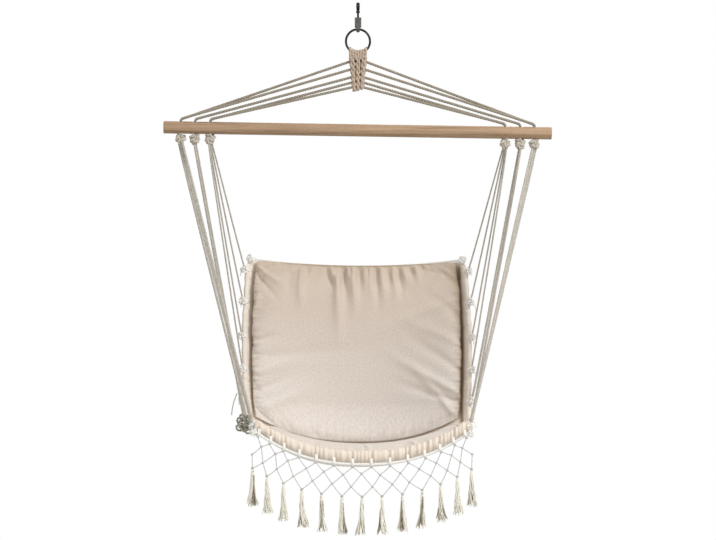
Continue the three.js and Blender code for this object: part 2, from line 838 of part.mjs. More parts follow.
function rowPlaces(row) {
  const count = row % 2 === 0 ? netLoops : netLoops - 1;
  return Array.from({ length: count }, (_, i) => i - (count - 1) / 2);
}

// Under the rope a strand starts at the foot of its loop, and below that at a knot.
function netPoint(row, place) {
  if (row > 0) return netKnot(row, place);
  const { point, along } = onFrontRope(place);
  return point.addScaledVector(new THREE.Vector3(along.z, 0, -along.x).normalize(), netLoopRadius);
}

// One cord zigzags between two rows of knots.
function netZigzag(upperRow) {
  const wide = upperRow % 2 === 0 ? upperRow : upperRow + 1;
  const tight = upperRow % 2 === 0 ? upperRow + 1 : upperRow;
  const step = new THREE.Vector3(0, 0, -netCordRadius / 2);
  const at = (row, place) => (row === upperRow ? netPoint(row, place).add(step) : netPoint(row, place));
  const points = rowPlaces(wide).flatMap((place, i) => [
    ...(i > 0 ? [at(tight, place - 1 / 2)] : []),
    at(wide, place),
  ]);
  return tube(points, netCordRadius * netBendSwell, netCordSides);
}

function fringeNet() {
  const loops = rowPlaces(0).map((place) => {
    const { point, along } = onFrontRope(place);
    return wireRing(point, along, netLoopRadius, netCordRadius, netCordSides, loopSides);
  });
  const cords = netRowDrops.map((_, row) => netZigzag(row));
  const lowest = netRowDrops.length;
  const knots = rowPlaces(lowest).map((place) => {
    return ball(netKnot(lowest, place), netKnotRadius, netKnotSides, netKnotRings);
  });
  return joined([...loops, ...cords, ...knots]);
}

function tassel(place) {
  const knot = netKnot(netRowDrops.length, place);
  const top = -(netKnotRadius + seatGap);
  const foot = -tasselLength;
  const profile = [
    new THREE.Vector2(0, foot),
    new THREE.Vector2(tasselFootRadius, foot),
    new THREE.Vector2(tasselMiddleRadius, foot * tasselMiddleShare),
    new THREE.Vector2(tasselNeckRadius, foot * tasselNeckShare),
    new THREE.Vector2(tasselHeadRadius, foot * tasselHeadShare),
    new THREE.Vector2(tasselNeckRadius / 2, top),
    new THREE.Vector2(0, top),
  ];
  const lathe = upright(new THREE.LatheGeometry(profile, tasselSides));
  return lathe.translate(knot.x, knot.y, knot.z);
}

// Finishes
function finish(color, roughness, metalness) {
  return new THREE.MeshStandardMaterial({ color, roughness, metalness });
}

const darkSteel = finish(0x3c3d3b, 0.35, 1);
const greySteel = finish(0x7d8178, 0.45, 1);
const tanCord = finish(0xc3aa8d, 0.9, 0);
const creamCord = finish(0xe1d7c3, 0.9, 0);
const wood = finish(0xc4a582, 0.55, 0);
const canvasCloth = finish(0xe6dac8, 0.9, 0);
const padCloth = finish(0xd6cabc, 0.9, 0);

const chair = new THREE.Group();
chair.name = 'hammock_chair';

function addPiece(name, geometry, material) {
  const mesh = new THREE.Mesh(geometry, material);
  mesh.name = name;
  chair.add(mesh);
}

addPiece('swivel_eye', upperEye(), darkSteel);
addPiece('swivel_washer', thrustWasher(), darkSteel);
addPiece('swivel_nut', retainingNut(), darkSteel);
addPiece('swivel_body', swivelBody(), greySteel);
addPiece('hanging_ring', hangingRing(), darkSteel);
addPiece('head_braid', headBraid(), tanCord);
upperCords().forEach(([name, geometry]) => addPiece(name, geometry, creamCord));
addPiece('spreader_bar', spreaderBar(), wood);
for (const side of [-1, 1]) {
  const word = side < 0 ? 'left' : 'right';
  holePlaces.forEach((_, hole) => {
    addPiece(`stopper_knot_${word}_${hole + 1}`, stopperKnot(side, hole), creamCord);
  });
  loopPlaces.forEach((_, i) => {
    addPiece(`side_cord_${word}_${i + 1}`, sideCord(side, i), creamCord);
  });
}
addPiece('seat_canvas', seatCanvas(), canvasCloth);
addPiece('back_pad', backPad(), padCloth);
addPiece('seat_pad', seatPad(), padCloth);
addPiece('hem_rope', hemRope(), creamCord);
addPiece('front_rope', frontRope(), creamCord);
addPiece('fringe_net', fringeNet(), creamCord);
rowPlaces(netRowDrops.length).forEach((where, i) => addPiece(`tassel_${i + 1}`, tassel(where), creamCord));

export default chair;
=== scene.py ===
"""Looks of a hammock chair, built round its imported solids."""
import math
import random

import bmesh
import bpy
import numpy as np
from mathutils import Matrix, Vector


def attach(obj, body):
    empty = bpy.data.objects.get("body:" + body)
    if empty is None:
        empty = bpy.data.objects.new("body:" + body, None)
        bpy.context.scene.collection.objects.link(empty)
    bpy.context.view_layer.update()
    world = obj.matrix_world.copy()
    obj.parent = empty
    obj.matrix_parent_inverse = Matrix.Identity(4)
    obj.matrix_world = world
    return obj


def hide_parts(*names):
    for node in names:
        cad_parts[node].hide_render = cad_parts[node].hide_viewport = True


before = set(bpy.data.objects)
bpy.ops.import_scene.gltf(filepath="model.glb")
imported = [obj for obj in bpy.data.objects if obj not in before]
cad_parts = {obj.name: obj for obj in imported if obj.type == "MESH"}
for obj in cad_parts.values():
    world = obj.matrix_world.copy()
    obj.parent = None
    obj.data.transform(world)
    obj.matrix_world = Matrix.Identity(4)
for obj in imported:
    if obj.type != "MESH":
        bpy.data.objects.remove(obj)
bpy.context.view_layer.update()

bl_info = {
    "name": "Hammock chair",
    "version": (1, 0, 0),
    "blender": (4, 5, 0),
    "location": "View3D > Sidebar > Hammock",
    "description": "Builds a padded hammock chair with its cords, pads, net and tassels",
    "category": "Add Mesh",
}

SIDES = (("left", -1), ("right", 1))

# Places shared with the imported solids, in metres and radians
GAP = 0.0004
EYE_CENTRE, EYE_RADIUS, EYE_WIRE, EYE_WIDTH_SHARE = -0.005, 0.008, 0.003, 1.5
RING_CENTRE, RING_RADIUS, RING_WIRE = -0.0947, 0.031, 0.003
RING_FOOT = RING_CENTRE - RING_RADIUS
BRAID_FOOT, BRAID_LENGTH = -0.2212, 0.091
BAR_DROP, BAR_RADIUS, BAR_TILT = 0.324, 0.016, math.radians(0.8)
BAR_LENGTH, BAR_EDGE = 1.0, 0.0015
HOLE_RADIUS = 0.008
HOLE_PLACES = (0.456, 0.419, 0.380)
CORDS_IN_HOLE = (2, 1, 2)
KNOT_RADIUS = 0.014
KNOT_DROP = BAR_RADIUS + math.sqrt((KNOT_RADIUS + GAP) ** 2 - HOLE_RADIUS ** 2)
BEND_RADIUS, PAIR_SPREAD = 0.008, 0.004
UPPER_RADIUS = 0.0037
UPPER_EXIT_DROPS = (0.023, 0.045, 0.066, 0.080, 0.093)
LOOP_PLACES = (0.028, 0.112, 0.204, 0.290, 0.372, 0.480, 0.610, 0.725, 0.812)
LOOP_HOLES = (2, 2, 2, 2, 1, 1, 0, 0, 0)
CORD_FANS = (0.0074, 0.0074, 0.0052)
FANS_ACROSS = (0.75, -0.5, -0.6)
SIDE_RADII = (0.0034, 0.0034, 0.0023)
BACK_TOP = np.array((0.1343, -0.659))
CREASE = np.array((0.0573, -1.086))
FRONT = np.array((-0.3657, -1.076))
CREASE_RADIUS = 0.07
SEAT_LEAN = math.radians(0.4)
CORNER_RADIUS = 0.02
SAG_POWER = 2.35
TOP_DROOP, DROOP_REACH = 0.012, 0.150
ROPE_RADIUS = 0.004
NET_LOOPS, NET_CORD, NET_REACH, NET_CROWD, NET_LEAN = 14, 0.00125, 0.97, 0.12, 0.65
NET_LOOP_RADIUS = (ROPE_RADIUS + GAP) / math.cos(math.pi / 8) + NET_CORD
NET_DROPS = (0.024, 0.051, 0.078)
NET_ROWS = len(NET_DROPS)
TOP_HALF, FRONT_HALF = 0.284, 0.254


# Settings that a user may change
class ChairSizes(bpy.types.PropertyGroup):
    """Sizes of the fine detail"""
    rope_lay: bpy.props.FloatProperty(
        name="Rope lay", description="Length of one turn of a cord's strands",
        default=0.017, min=0.008, unit="LENGTH")
    pad_swell: bpy.props.FloatProperty(
        name="Pad swell", description="Most that a pad's cloth moves when it is filled",
        default=0.011, unit="LENGTH")
    fold_height: bpy.props.FloatProperty(
        name="Fold height", description="Height of the soft folds on the pads",
        default=0.0085, unit="LENGTH")
    gather_depth: bpy.props.FloatProperty(
        name="Gather depth", description="Depth of the gathers in the front band",
        default=0.0038, unit="LENGTH")
    band_radius: bpy.props.FloatProperty(
        name="Band radius", description="Radius of the cloth band round the seat's front",
        default=0.0158, unit="LENGTH")
    tassel_yarns: bpy.props.IntProperty(
        name="Tassel yarns", description="Yarns in each tassel", default=42, min=8, max=80)
    tassel_length: bpy.props.FloatProperty(
        name="Tassel length", description="Length of a tassel under its knot", default=0.092, unit="LENGTH")


class ChairColours(bpy.types.PropertyGroup):
    """Base colours of the finishes"""
    cord: bpy.props.FloatVectorProperty(
        name="Cord", description="Cream cotton cord", subtype="COLOR", default=(1.0, 0.96, 0.88))
    # Painted shade: the taut cord is the cream cord darkened and greyed to stand in for shade along the
    # cords.
    taut: bpy.props.FloatVectorProperty(
        name="Taut cord", description="Cord of the fans, darkened as painted shade", subtype="COLOR",
        default=(0.70, 0.645, 0.56))
    braid: bpy.props.FloatVectorProperty(
        name="Head braid", description="Tan cord of the head braid", subtype="COLOR",
        default=(0.64, 0.50, 0.38))
    pad: bpy.props.FloatVectorProperty(
        name="Pad cloth", description="Cloth of the two pads", subtype="COLOR",
        default=(0.785, 0.69, 0.605))
    canvas: bpy.props.FloatVectorProperty(
        name="Canvas", description="Carrier cloth and front band", subtype="COLOR",
        default=(0.90, 0.80, 0.69))
    wood: bpy.props.FloatVectorProperty(
        name="Wood", description="Spreader bar", subtype="COLOR", default=(0.356, 0.23, 0.136))
    net: bpy.props.FloatVectorProperty(
        name="Net cord", description="Thin cord of the net", subtype="COLOR", default=(0.74, 0.725, 0.69))
    yarn: bpy.props.FloatVectorProperty(
        name="Tassel yarn", description="Yarn of the tassels", subtype="COLOR", default=(0.98, 0.915, 0.79))


def sizes():
    return bpy.context.scene.chair_sizes


def colours():
    return bpy.context.scene.chair_colours


# The seat's surface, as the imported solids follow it
def smooth(t):
    t = np.clip(t, 0.0, 1.0)
    return t * t * (3 - 2 * t)


def bell(distance, width):
    """1 at no distance, falling smoothly to nearly 0 at twice the width."""
    return np.exp(-(distance / width) ** 2)


def through(stations, place):
    """A value that eases from station to station."""
    value = stations[0][1] + 0.0 * np.asarray(place, float)
    for (start, low), (end, high) in zip(stations, stations[1:]):
        value = value + (high - low) * smooth((place - start) / (end - start))
    return value


BACK_RUN, SEAT_RUN = CREASE - BACK_TOP, FRONT - CREASE
BACK_ANGLE = math.atan2(BACK_RUN[1], BACK_RUN[0])
CREASE_TURN = math.atan2(SEAT_RUN[1], SEAT_RUN[0]) - BACK_ANGLE - 2 * math.pi
CREASE_TRIM = CREASE_RADIUS * math.tan(abs(CREASE_TURN) / 2)
BACK_LENGTH = float(np.linalg.norm(BACK_RUN)) - CREASE_TRIM
ARC_LENGTH = CREASE_RADIUS * abs(CREASE_TURN)
SEAT_LENGTH = BACK_LENGTH + ARC_LENGTH + float(np.linalg.norm(SEAT_RUN)) - CREASE_TRIM
CREASE_PLACE = BACK_LENGTH + ARC_LENGTH / 2
SAG = ((0.0, 0.042), (CREASE_PLACE, 0.108), (SEAT_LENGTH, 0.075))
CANVAS_HALF = (
    (0.0, TOP_HALF), (SEAT_LENGTH / 4, 0.292), (SEAT_LENGTH / 2, 0.288), (SEAT_LENGTH, FRONT_HALF))


def edge_at(place):
    """Side edge in the side view: its y and z, and its direction."""
    place = np.asarray(place, float)
    on_back = np.minimum(place, BACK_LENGTH)
    on_arc = np.clip(place - BACK_LENGTH, 0, ARC_LENGTH)
    past_arc = np.maximum(place - BACK_LENGTH - ARC_LENGTH, 0)
    turned = CREASE_TURN * on_arc / ARC_LENGTH
    angle = BACK_ANGLE + turned
    chord = 2 * CREASE_RADIUS * np.sin(np.abs(turned) / 2)
    chord_angle = BACK_ANGLE + turned / 2
    y = BACK_TOP[0] + on_back * math.cos(BACK_ANGLE) + chord * np.cos(chord_angle) + past_arc * np.cos(angle)
    z = BACK_TOP[1] + on_back * math.sin(BACK_ANGLE) + chord * np.sin(chord_angle) + past_arc * np.sin(angle)
    return y, z, np.cos(angle), np.sin(angle)


def on_seat(x, place, lift=0.0):
    """Points of the cloth at x across and a distance along, raised towards the sitter by lift."""
    x, place, lift = np.broadcast_arrays(*(np.asarray(value, float) for value in (x, place, lift)))
    y, z, along_y, along_z = edge_at(place)
    share = np.minimum(np.abs(x) / through(CANVAS_HALF, place), 1.0)
    drop = through(SAG, place) * (1 - share ** SAG_POWER) - lift
    droop = TOP_DROOP * (1 - share ** 2) * (1 - smooth(place / DROOP_REACH))
    y, z = y - along_z * drop + along_y * droop, z + along_y * drop + along_z * droop
    return np.stack([x, y, z - x * math.sin(SEAT_LEAN)], axis=-1)


def canvas_half(place):
    """Half the cloth's width, with its top corners rounded."""
    to_flat = CORNER_RADIUS - np.clip(place, 0, CORNER_RADIUS)
    return through(CANVAS_HALF, place) - CORNER_RADIUS + np.sqrt(CORNER_RADIUS ** 2 - to_flat ** 2)


def hem_at(side, place):
    """Middle of the rope in the cloth's side edge."""
    return on_seat(side * canvas_half(place), place) + np.array((side * (ROPE_RADIUS + GAP), 0, 0))


def front_at(x):
    """Middle of the rope along the cloth's front edge."""
    return on_seat(x, SEAT_LENGTH) - np.array((0, NET_LOOP_RADIUS + NET_CORD + GAP, 0))


def on_bar(x, y, up):
    """A point of the tilted bar's own frame."""
    turn = Matrix.Rotation(BAR_TILT, 3, "Y")
    return np.array(turn @ Vector((x, y, up))) - np.array((0, 0, BAR_DROP))


# Paths and cords
LAY_RADIUS, STEPS_IN_LAY = 0.003, 9
STRAND_SHARE = 0.53


def path_lengths(points):
    steps = np.linalg.norm(np.diff(points, axis=0), axis=1)
    return np.concatenate(([0.0], np.cumsum(steps)))


def spaced(points, step):
    """The same path with its points a step apart."""
    points = np.asarray(points, float)
    lengths = path_lengths(points)
    places = np.linspace(0, lengths[-1], max(3, int(lengths[-1] / step) + 1))
    return np.stack([np.interp(places, lengths, points[:, k]) for k in range(3)], axis=1)


def softened(points, rounds=2):
    """Corners rounded by cutting them a few times; the ends stay."""
    points = np.asarray(points, float)
    for _ in range(rounds):
        near, far = points[:-1] * 0.75 + points[1:] * 0.25, points[:-1] * 0.25 + points[1:] * 0.75
        cut = np.stack([near, far], axis=1).reshape(-1, 3)
        points = np.concatenate([points[:1], cut[1:-1], points[-1:]])
    return points


def side_vectors(points):
    """Two vectors square to the path at each point, turning with it as little as they can."""
    along = np.gradient(points, axis=0)
    along /= np.linalg.norm(along, axis=1)[:, None]
    normal = np.cross(along[0], (0.3, 0.2, 0.93))
    normals = np.empty_like(points)
    for i, tangent in enumerate(along):
        normal = normal - tangent * normal.dot(tangent)
        normal = normal / np.linalg.norm(normal)
        normals[i] = normal
    return normals, np.cross(along, normals)


def strands(points, radius, count=3, lay=None, phase=0.0):
    """The paths of the strands that are laid round a path to make a cord of that radius."""
    lay = lay or sizes().rope_lay * radius / LAY_RADIUS
    points = spaced(points, lay / STEPS_IN_LAY)
    normals, others = side_vectors(points)
    turn = 2 * math.pi * path_lengths(points) / lay + phase
    offset = radius * 0.5
    paths = []
    for k in range(count):
        angle = (turn + 2 * math.pi * k / count)[:, None]
        paths.append(points + offset * (np.cos(angle) * normals + np.sin(angle) * others))
    return paths


def all_strands(paths, radius, count, lay):
    """The strands of several cords of one kind."""
    return [strand for path in paths for strand in strands(path, radius, count, lay)]


def placed(name, made, material, is_smooth=True):
    """Turns a bmesh into an object of the scene with its material."""
    mesh = bpy.data.meshes.new(name)
    made.to_mesh(mesh)
    made.free()
    mesh.polygons.foreach_set("use_smooth", np.full(len(mesh.polygons), is_smooth))
    piece = bpy.data.objects.new(name, mesh)
    bpy.context.collection.objects.link(piece)
    mesh.materials.append(material)
    return piece


def belongs(piece, body, slot, *nodes):
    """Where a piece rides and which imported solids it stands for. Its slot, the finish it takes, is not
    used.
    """
    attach(piece, body)
    if nodes:
        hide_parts(*nodes)


def swept(name, groups, look, body, slot, *nodes):
    """A piece of round tubes. A group is (paths, radius, rings); a path may be (points, radius shares)."""
    curve = bpy.data.curves.new(name, "CURVE")
    curve.dimensions = "3D"
    curve.use_fill_caps = True
    curve.bevel_depth = 1.0
    made = bmesh.new()
    for paths, radius, rings in groups:
        curve.splines.clear()
        curve.bevel_resolution = rings
        for path in paths:
            points, shares = path if isinstance(path, tuple) else (path, 1.0)
            count = len(points)
            spline = curve.splines.new("POLY")
            spline.points.add(count - 1)
            places = np.hstack([points, np.ones((count, 1))])
            spline.points.foreach_set("co", places.astype(np.float32).ravel())
            spline.points.foreach_set("radius", (np.ones(count) * radius * shares).astype(np.float32))
        holder = bpy.data.objects.new(name + "_path", curve)
        bpy.context.collection.objects.link(holder)
        mesh = shaped_mesh(holder)
        made.from_mesh(mesh)
        bpy.data.objects.remove(holder)
        bpy.data.meshes.remove(mesh)
    bpy.data.curves.remove(curve)
    bmesh.ops.recalc_face_normals(made, faces=made.faces)
    piece = placed(name, made, finish(look))
    belongs(piece, body, slot, *nodes)
    return piece


def shaped_mesh(piece):
    """The mesh that a curve or an object's modifiers give."""
    return bpy.data.meshes.new_from_object(piece.evaluated_get(bpy.context.evaluated_depsgraph_get()))


def circle(centre, first, second, radius, count, turns, climb):
    """A coil round a centre in the plane of two vectors, climbing along a third."""
    angle = np.linspace(0, 2 * math.pi * turns, count)[:, None]
    spokes = np.cos(angle) * np.asarray(first) + np.sin(angle) * np.asarray(second)
    return np.asarray(centre) + radius * spokes + np.linspace(-0.5, 0.5, count)[:, None] * np.asarray(climb)


def overhand(centre, reach, tilt=0.0, depth_share=1.0, count=64):
    """The path of a tied overhand knot: a three-lobed curve, facing -Y."""
    t = np.linspace(0, 2 * math.pi, count)
    lobes = 0.62 + 0.38 * np.cos(3 * t)
    depth = 0.42 * depth_share * np.sin(3 * t)
    points = np.stack([lobes * np.cos(2 * t + tilt), depth, lobes * np.sin(2 * t + tilt)], axis=1)
    return np.asarray(centre) + points * reach


# Materials
def toned(colour, shares):
    """A colour times one share, or a share for each channel, up to 1."""
    return tuple(np.minimum(np.multiply(tuple(colour), shares), 1.0))


class Finish:
    """A node material built step by step."""

    def __init__(self, name, colour, roughness, metallic=0.0):
        self.material = bpy.data.materials.new(name)
        self.material.use_nodes = True
        self.nodes = self.material.node_tree.nodes
        self.links = self.material.node_tree.links
        self.shader = self.nodes["Principled BSDF"]
        self.colour = tuple(colour)
        self.set("Base Color", (*colour, 1.0))
        self.set("Roughness", roughness)
        self.set("Metallic", metallic)

    def set(self, socket, value):
        self.shader.inputs[socket].default_value = value

    def feed(self, socket, value):
        """Links a socket to another one, or sets its constant."""
        if isinstance(value, bpy.types.NodeSocket):
            self.links.new(value, socket)
        else:
            socket.default_value = value

    def node(self, kind, **inputs):
        made = self.nodes.new(kind)
        for socket, value in inputs.items():
            self.feed(made.inputs[socket.replace("_", " ")], value)
        return made

    def object_space(self, scale=(1, 1, 1)):
        where = self.nodes.new("ShaderNodeTexCoord").outputs["Object"]
        return self.node("ShaderNodeMapping", Vector=where, Scale=scale).outputs[0]

    def cloth_space(self, scale=(1, 1, 1)):
        where = self.nodes.new("ShaderNodeUVMap")
        where.uv_map = "cloth"
        return self.node("ShaderNodeMapping", Vector=where.outputs[0], Scale=scale).outputs[0]

    def painted(self, name):
        """The values that a piece holds at its points."""
        made = self.nodes.new("ShaderNodeAttribute")
        made.attribute_name = name
        return made.outputs["Fac"]

    def noise(self, vector, scale, detail=3.0, rough=0.55):
        made = self.node("ShaderNodeTexNoise", Vector=vector, Scale=scale, Detail=detail, Roughness=rough)
        return made.outputs["Fac"]

    def math(self, operation, one, two=0.0, *more):
        made = self.nodes.new("ShaderNodeMath")
        made.operation = operation
        for socket, value in zip(made.inputs, (one, two, *more)):
            self.feed(socket, value)
        return made.outputs[0]

    def ramp(self, value, *stops):
        made = self.node("ShaderNodeValToRGB", Fac=value)
        elements = made.color_ramp.elements
        while len(elements) < len(stops):
            elements.new(0.5)
        for element, (place, tint) in zip(elements, stops):
            element.position = place
            element.color = (*tint[:3], 1.0)
        return made.outputs["Color"]

    def mask(self, value, start, end, most=1.0):
        """A grey that rises from 0 at the start to its most at the end."""
        return self.ramp(value, (start, (0, 0, 0)), (end, (most,) * 3))

    def tinted(self, shares):
        """The base colour times those shares."""
        return (*toned(self.colour, shares), 1.0)

    def shaded(self, value, dark, light):
        """The base colour from dark to light shares of itself."""
        return self.ramp(value, (0.25, self.tinted(dark)), (0.75, self.tinted(light)))

    def mixed(self, factor, one, two, blend="MIX"):
        made = self.nodes.new("ShaderNodeMix")
        made.data_type = "RGBA"
        made.blend_type = blend
        for socket, value in ((0, factor), (6, one), (7, two)):
            self.feed(made.inputs[socket], value)
        return made.outputs[2]

    def bumped(self, height, distance, strength=1.0):
        return self.node("ShaderNodeBump", Height=height, Strength=strength, Distance=distance).outputs[0]

    def finished(self, colour, normal, roughness=None):
        self.links.new(colour, self.shader.inputs["Base Color"])
        self.links.new(normal, self.shader.inputs["Normal"])
        if roughness is not None:
            self.links.new(roughness, self.shader.inputs["Roughness"])
        return self.material


def steel(name, colour, roughness):
    """Plated wire or casting, a little scuffed."""
    f = Finish(name, colour, roughness, 1.0)
    where = f.object_space()
    scuffs = f.noise(where, scale=900, detail=4)
    dull = (min(roughness * 1.5, 1),) * 3
    patches = f.noise(where, scale=240, detail=5, rough=0.7)
    grain = f.ramp(patches, (0.3, (roughness * 0.75,) * 3), (0.75, dull))
    tint = f.shaded(f.noise(where, scale=160), 0.7, (1.15, 1.15, 1.12))
    return f.finished(tint, f.bumped(scuffs, distance=0.0001, strength=0.5), grain)


def cotton(name, colour, deep=0.55, lumpy=0.7, mottled=0.0):
    """Soft twisted cotton: fine fibres, slightly darker where it is worn and handled."""
    f = Finish(name, colour, 0.95)
    f.set("Sheen Weight", 0.25)
    f.set("Sheen Roughness", 0.6)
    where = f.object_space()
    fibres = f.noise(where, scale=2600, detail=4, rough=0.65)
    wear = f.noise(where, scale=42)
    tint = f.shaded(fibres, deep, (1.12, 1.11, 1.09))
    if mottled:
        spots = f.noise(where, scale=300, detail=2, rough=0.8)
        tint = f.mixed(f.mask(spots, 0.45, 0.57, mottled), tint, f.tinted(0.35))
    soiled = f.mixed(f.mask(wear, 0.5, 0.85, 0.45), tint, f.tinted(0.82))
    return f.finished(soiled, f.bumped(fibres, distance=0.0006, strength=lumpy))


def woven(name, colour, thread=0.0011, heather=0.1, speckled=0.8, low_back_light=0.0, stitched=0.0):
    """Plain weave that follows the cloth, with slubs, a run of stitches beside the edge, shade painted in
    from the values a piece holds, and on request light painted onto the low back.
    """
    f = Finish(name, colour, 0.92)
    f.set("Sheen Weight", 0.3)
    f.set("Sheen Roughness", 0.5)
    turns = 2 * math.pi / thread
    where = f.cloth_space()
    apart = f.node("ShaderNodeSeparateXYZ", Vector=where)
    across, along = apart.outputs["X"], apart.outputs["Y"]
    warp = f.math("SINE", f.math("MULTIPLY", across, turns))
    weft = f.math("SINE", f.math("MULTIPLY", along, turns))
    weave = f.math("MULTIPLY", warp, weft)
    slub_warp = f.noise(f.cloth_space((1600, 60, 1)), scale=1.0, detail=2)
    slub_weft = f.noise(f.cloth_space((60, 1600, 1)), scale=1.0, detail=2)
    slubs = f.math("ADD", slub_warp, slub_weft)
    height = f.math("ADD", f.math("MULTIPLY", weave, 0.25), slubs)
    tint = f.shaded(f.math("MULTIPLY", slubs, 0.5), 1 - heather, 1 + heather * 0.7)
    speckle = f.noise(where, scale=210, detail=2, rough=0.7)
    tint = f.mixed(f.mask(speckle, 0.4, 0.66, speckled), tint, f.tinted(0.78))
    patches = f.noise(where, scale=9, detail=4, rough=0.6)
    tint = f.mixed(f.math("MULTIPLY", patches, 0.35), tint, f.tinted(0.86))
    # Painted light: the low part of the back pad is painted lighter and cooler, standing in for the light
    # that falls on it there.
    if low_back_light:
        low_back = ((0.12, 0), (0.36, low_back_light), (0.43, low_back_light), (0.47, 0))
        low_back_lit = f.ramp(along, *((place, (share,) * 3) for place, share in low_back))
        tint = f.mixed(low_back_lit, tint, (1.05, 1.11, 1.18, 1.0), "MULTIPLY")
    # Painted shade: the shade values a piece holds darken its colour to brown and then to near black.
    shade = f.painted("painted_shade")
    painted_shade_brown, painted_shade_deep = f.mask(shade, 0.0, 0.5), f.mask(shade, 0.45, 1.0)
    tint = f.mixed(painted_shade_brown, tint, f.tinted((0.61, 0.535, 0.44)))
    tint = f.mixed(painted_shade_deep, tint, f.tinted((0.08, 0.05, 0.025)))
    if stitched:
        stitch_length, stitch_width = 0.005, 0.0009
        line = f.math("COMPARE", f.painted("from_edge"), stitched, stitch_width)
        run = f.math("MULTIPLY", f.math("ADD", across, along), 2 * math.pi / stitch_length)
        stitches = f.math("MULTIPLY", line, f.math("GREATER_THAN", f.math("SINE", run), -0.45))
        tint = f.mixed(stitches, tint, f.tinted(0.6))
        height = f.math("SUBTRACT", height, f.math("MULTIPLY", stitches, 1.5))
    return f.finished(tint, f.bumped(height, distance=0.0003, strength=0.55))


def beech(name, colour):
    """Pale oiled wood with grain along the bar."""
    f = Finish(name, colour, 0.55)
    f.set("Coat Weight", 0.12)
    f.set("Coat Roughness", 0.35)
    rings = f.noise(f.object_space((2.4, 100, 100)), scale=1.6, detail=6, rough=0.62)
    flecks = f.noise(f.object_space((55, 900, 900)), scale=1.0, detail=2)
    dark, light = f.tinted((0.52, 0.48, 0.43)), f.tinted((1.32, 1.34, 1.34))
    tint = f.ramp(rings, (0.32, dark), (0.48, colour), (0.66, light))
    tint = f.mixed(f.mask(flecks, 0.56, 0.68, 0.6), tint, f.tinted(0.6))
    height = f.math("ADD", rings, f.math("MULTIPLY", flecks, 0.4))
    return f.finished(tint, f.bumped(height, distance=0.0005, strength=0.35))


FINISHES = {}


def finish(name):
    """The finish of that name, made once."""
    if name not in FINISHES:
        c = colours()
        makers = {
            "dark_steel": lambda: steel("dark_steel", (0.03, 0.031, 0.03), 0.24),
            "grey_steel": lambda: steel("grey_steel", (0.11, 0.118, 0.105), 0.5),
            "cord": lambda: cotton("cream_cotton", c.cord, deep=0.82, lumpy=0.3),
            # Painted shade: the knots take a darker, browner copy of the cream cord with deeper fibre
            # shading, standing in for shade in their crevices.
            "knot": lambda: cotton("knot_shaded_cotton", toned(c.cord, (0.70, 0.665, 0.61)), deep=0.4),
            "braid": lambda: cotton("tan_cotton", c.braid, deep=0.45),
            # Painted shade: the core is the braid's tan darkened to a deep brown, standing in for the shade
            # inside the braid.
            "core": lambda: cotton("core_shaded_cotton", toned(c.braid, 0.28)),
            # Painted shade: the side cords (taut) and the upper cords (fan) are darker, greyer copies of the
            # cream cord, standing in for shade along them; the upper cords are the darkest.
            "taut": lambda: cotton("taut_shaded_cotton", c.taut, mottled=0.6),
            "fan": lambda: cotton("fan_shaded_cotton", toned(c.taut, (0.547, 0.51, 0.447))),
            # Painted shade: the spare cord is a dark grey-green copy of the taut cord, standing in for the
            # shadow that it hangs in.
            "spare": lambda: cotton("spare_shaded_cotton", toned(c.taut, (0.646, 0.674, 0.626))),
            "net": lambda: cotton("net_cotton", c.net),
            "yarn": lambda: cotton("tassel_yarn", c.yarn, deep=0.85, lumpy=0.3),
            # Painted shade: the dull yarns are a dark brown copy of the yarn, standing in for shade between
            # the tassel's strands.
            "shaded_yarn": lambda: cotton("shaded_yarn", toned(c.yarn, (0.42, 0.37, 0.31))),
            "pad": lambda: woven("pad_linen", c.pad, heather=0.12, low_back_light=1.0),
            "canvas": lambda: woven(
                "canvas_cloth", c.canvas, thread=0.0014, heather=0.07, speckled=0.2, stitched=0.014),
            "wood": lambda: beech("beech_bar", c.wood),
        }
        FINISHES[name] = makers[name]()
    return FINISHES[name]


# Steel pieces
STEM_RADIUS, STEM_FOOT, STEM_CHAMFER = 0.0028, -0.0486, 0.0003
COLLAR_RADIUS, COLLAR_SHOULDER = 0.005, 0.0046
COLLAR_DROPS = (0.0004, 0.0016, 0.0028, 0.0066, 0.0074, 0.0078)
SAME_PLACE = 1e-6


def turned(made, profile, steps=40):
    """Adds a profile spun about Z: pairs of radius and height, from axis to axis."""
    rim = [made.verts.new((radius, 0, height)) for radius, height in profile]
    edges = [made.edges.new(pair) for pair in zip(rim, rim[1:])]
    bmesh.ops.spin(
        made, geom=rim + edges, cent=(0, 0, 0), axis=(0, 0, 1), dvec=(0, 0, 0),
        angle=2 * math.pi, steps=steps, use_merge=True, use_duplicate=False)


def wire_ring(made, height, axis, radius, wire, steps, sides):
    """Adds a wire ring round X or Y at a height on the chair's middle line."""
    centre = Vector((0, 0, height))
    spoke = Vector((axis.y, axis.x, 0))
    section = bmesh.ops.create_circle(made, segments=sides, radius=wire)["verts"]
    stand = Matrix((spoke, axis, spoke.cross(axis))).transposed().to_4x4()
    bmesh.ops.transform(made, matrix=Matrix.Translation(centre + spoke * radius) @ stand, verts=section)
    edges = list({edge for vert in section for edge in vert.link_edges})
    bmesh.ops.spin(
        made, geom=section + edges, cent=centre, axis=axis, dvec=(0, 0, 0),
        angle=2 * math.pi, steps=steps, use_merge=True, use_duplicate=False)


def cleaned(made):
    bmesh.ops.remove_doubles(made, verts=made.verts, dist=SAME_PLACE)
    bmesh.ops.recalc_face_normals(made, faces=made.faces)


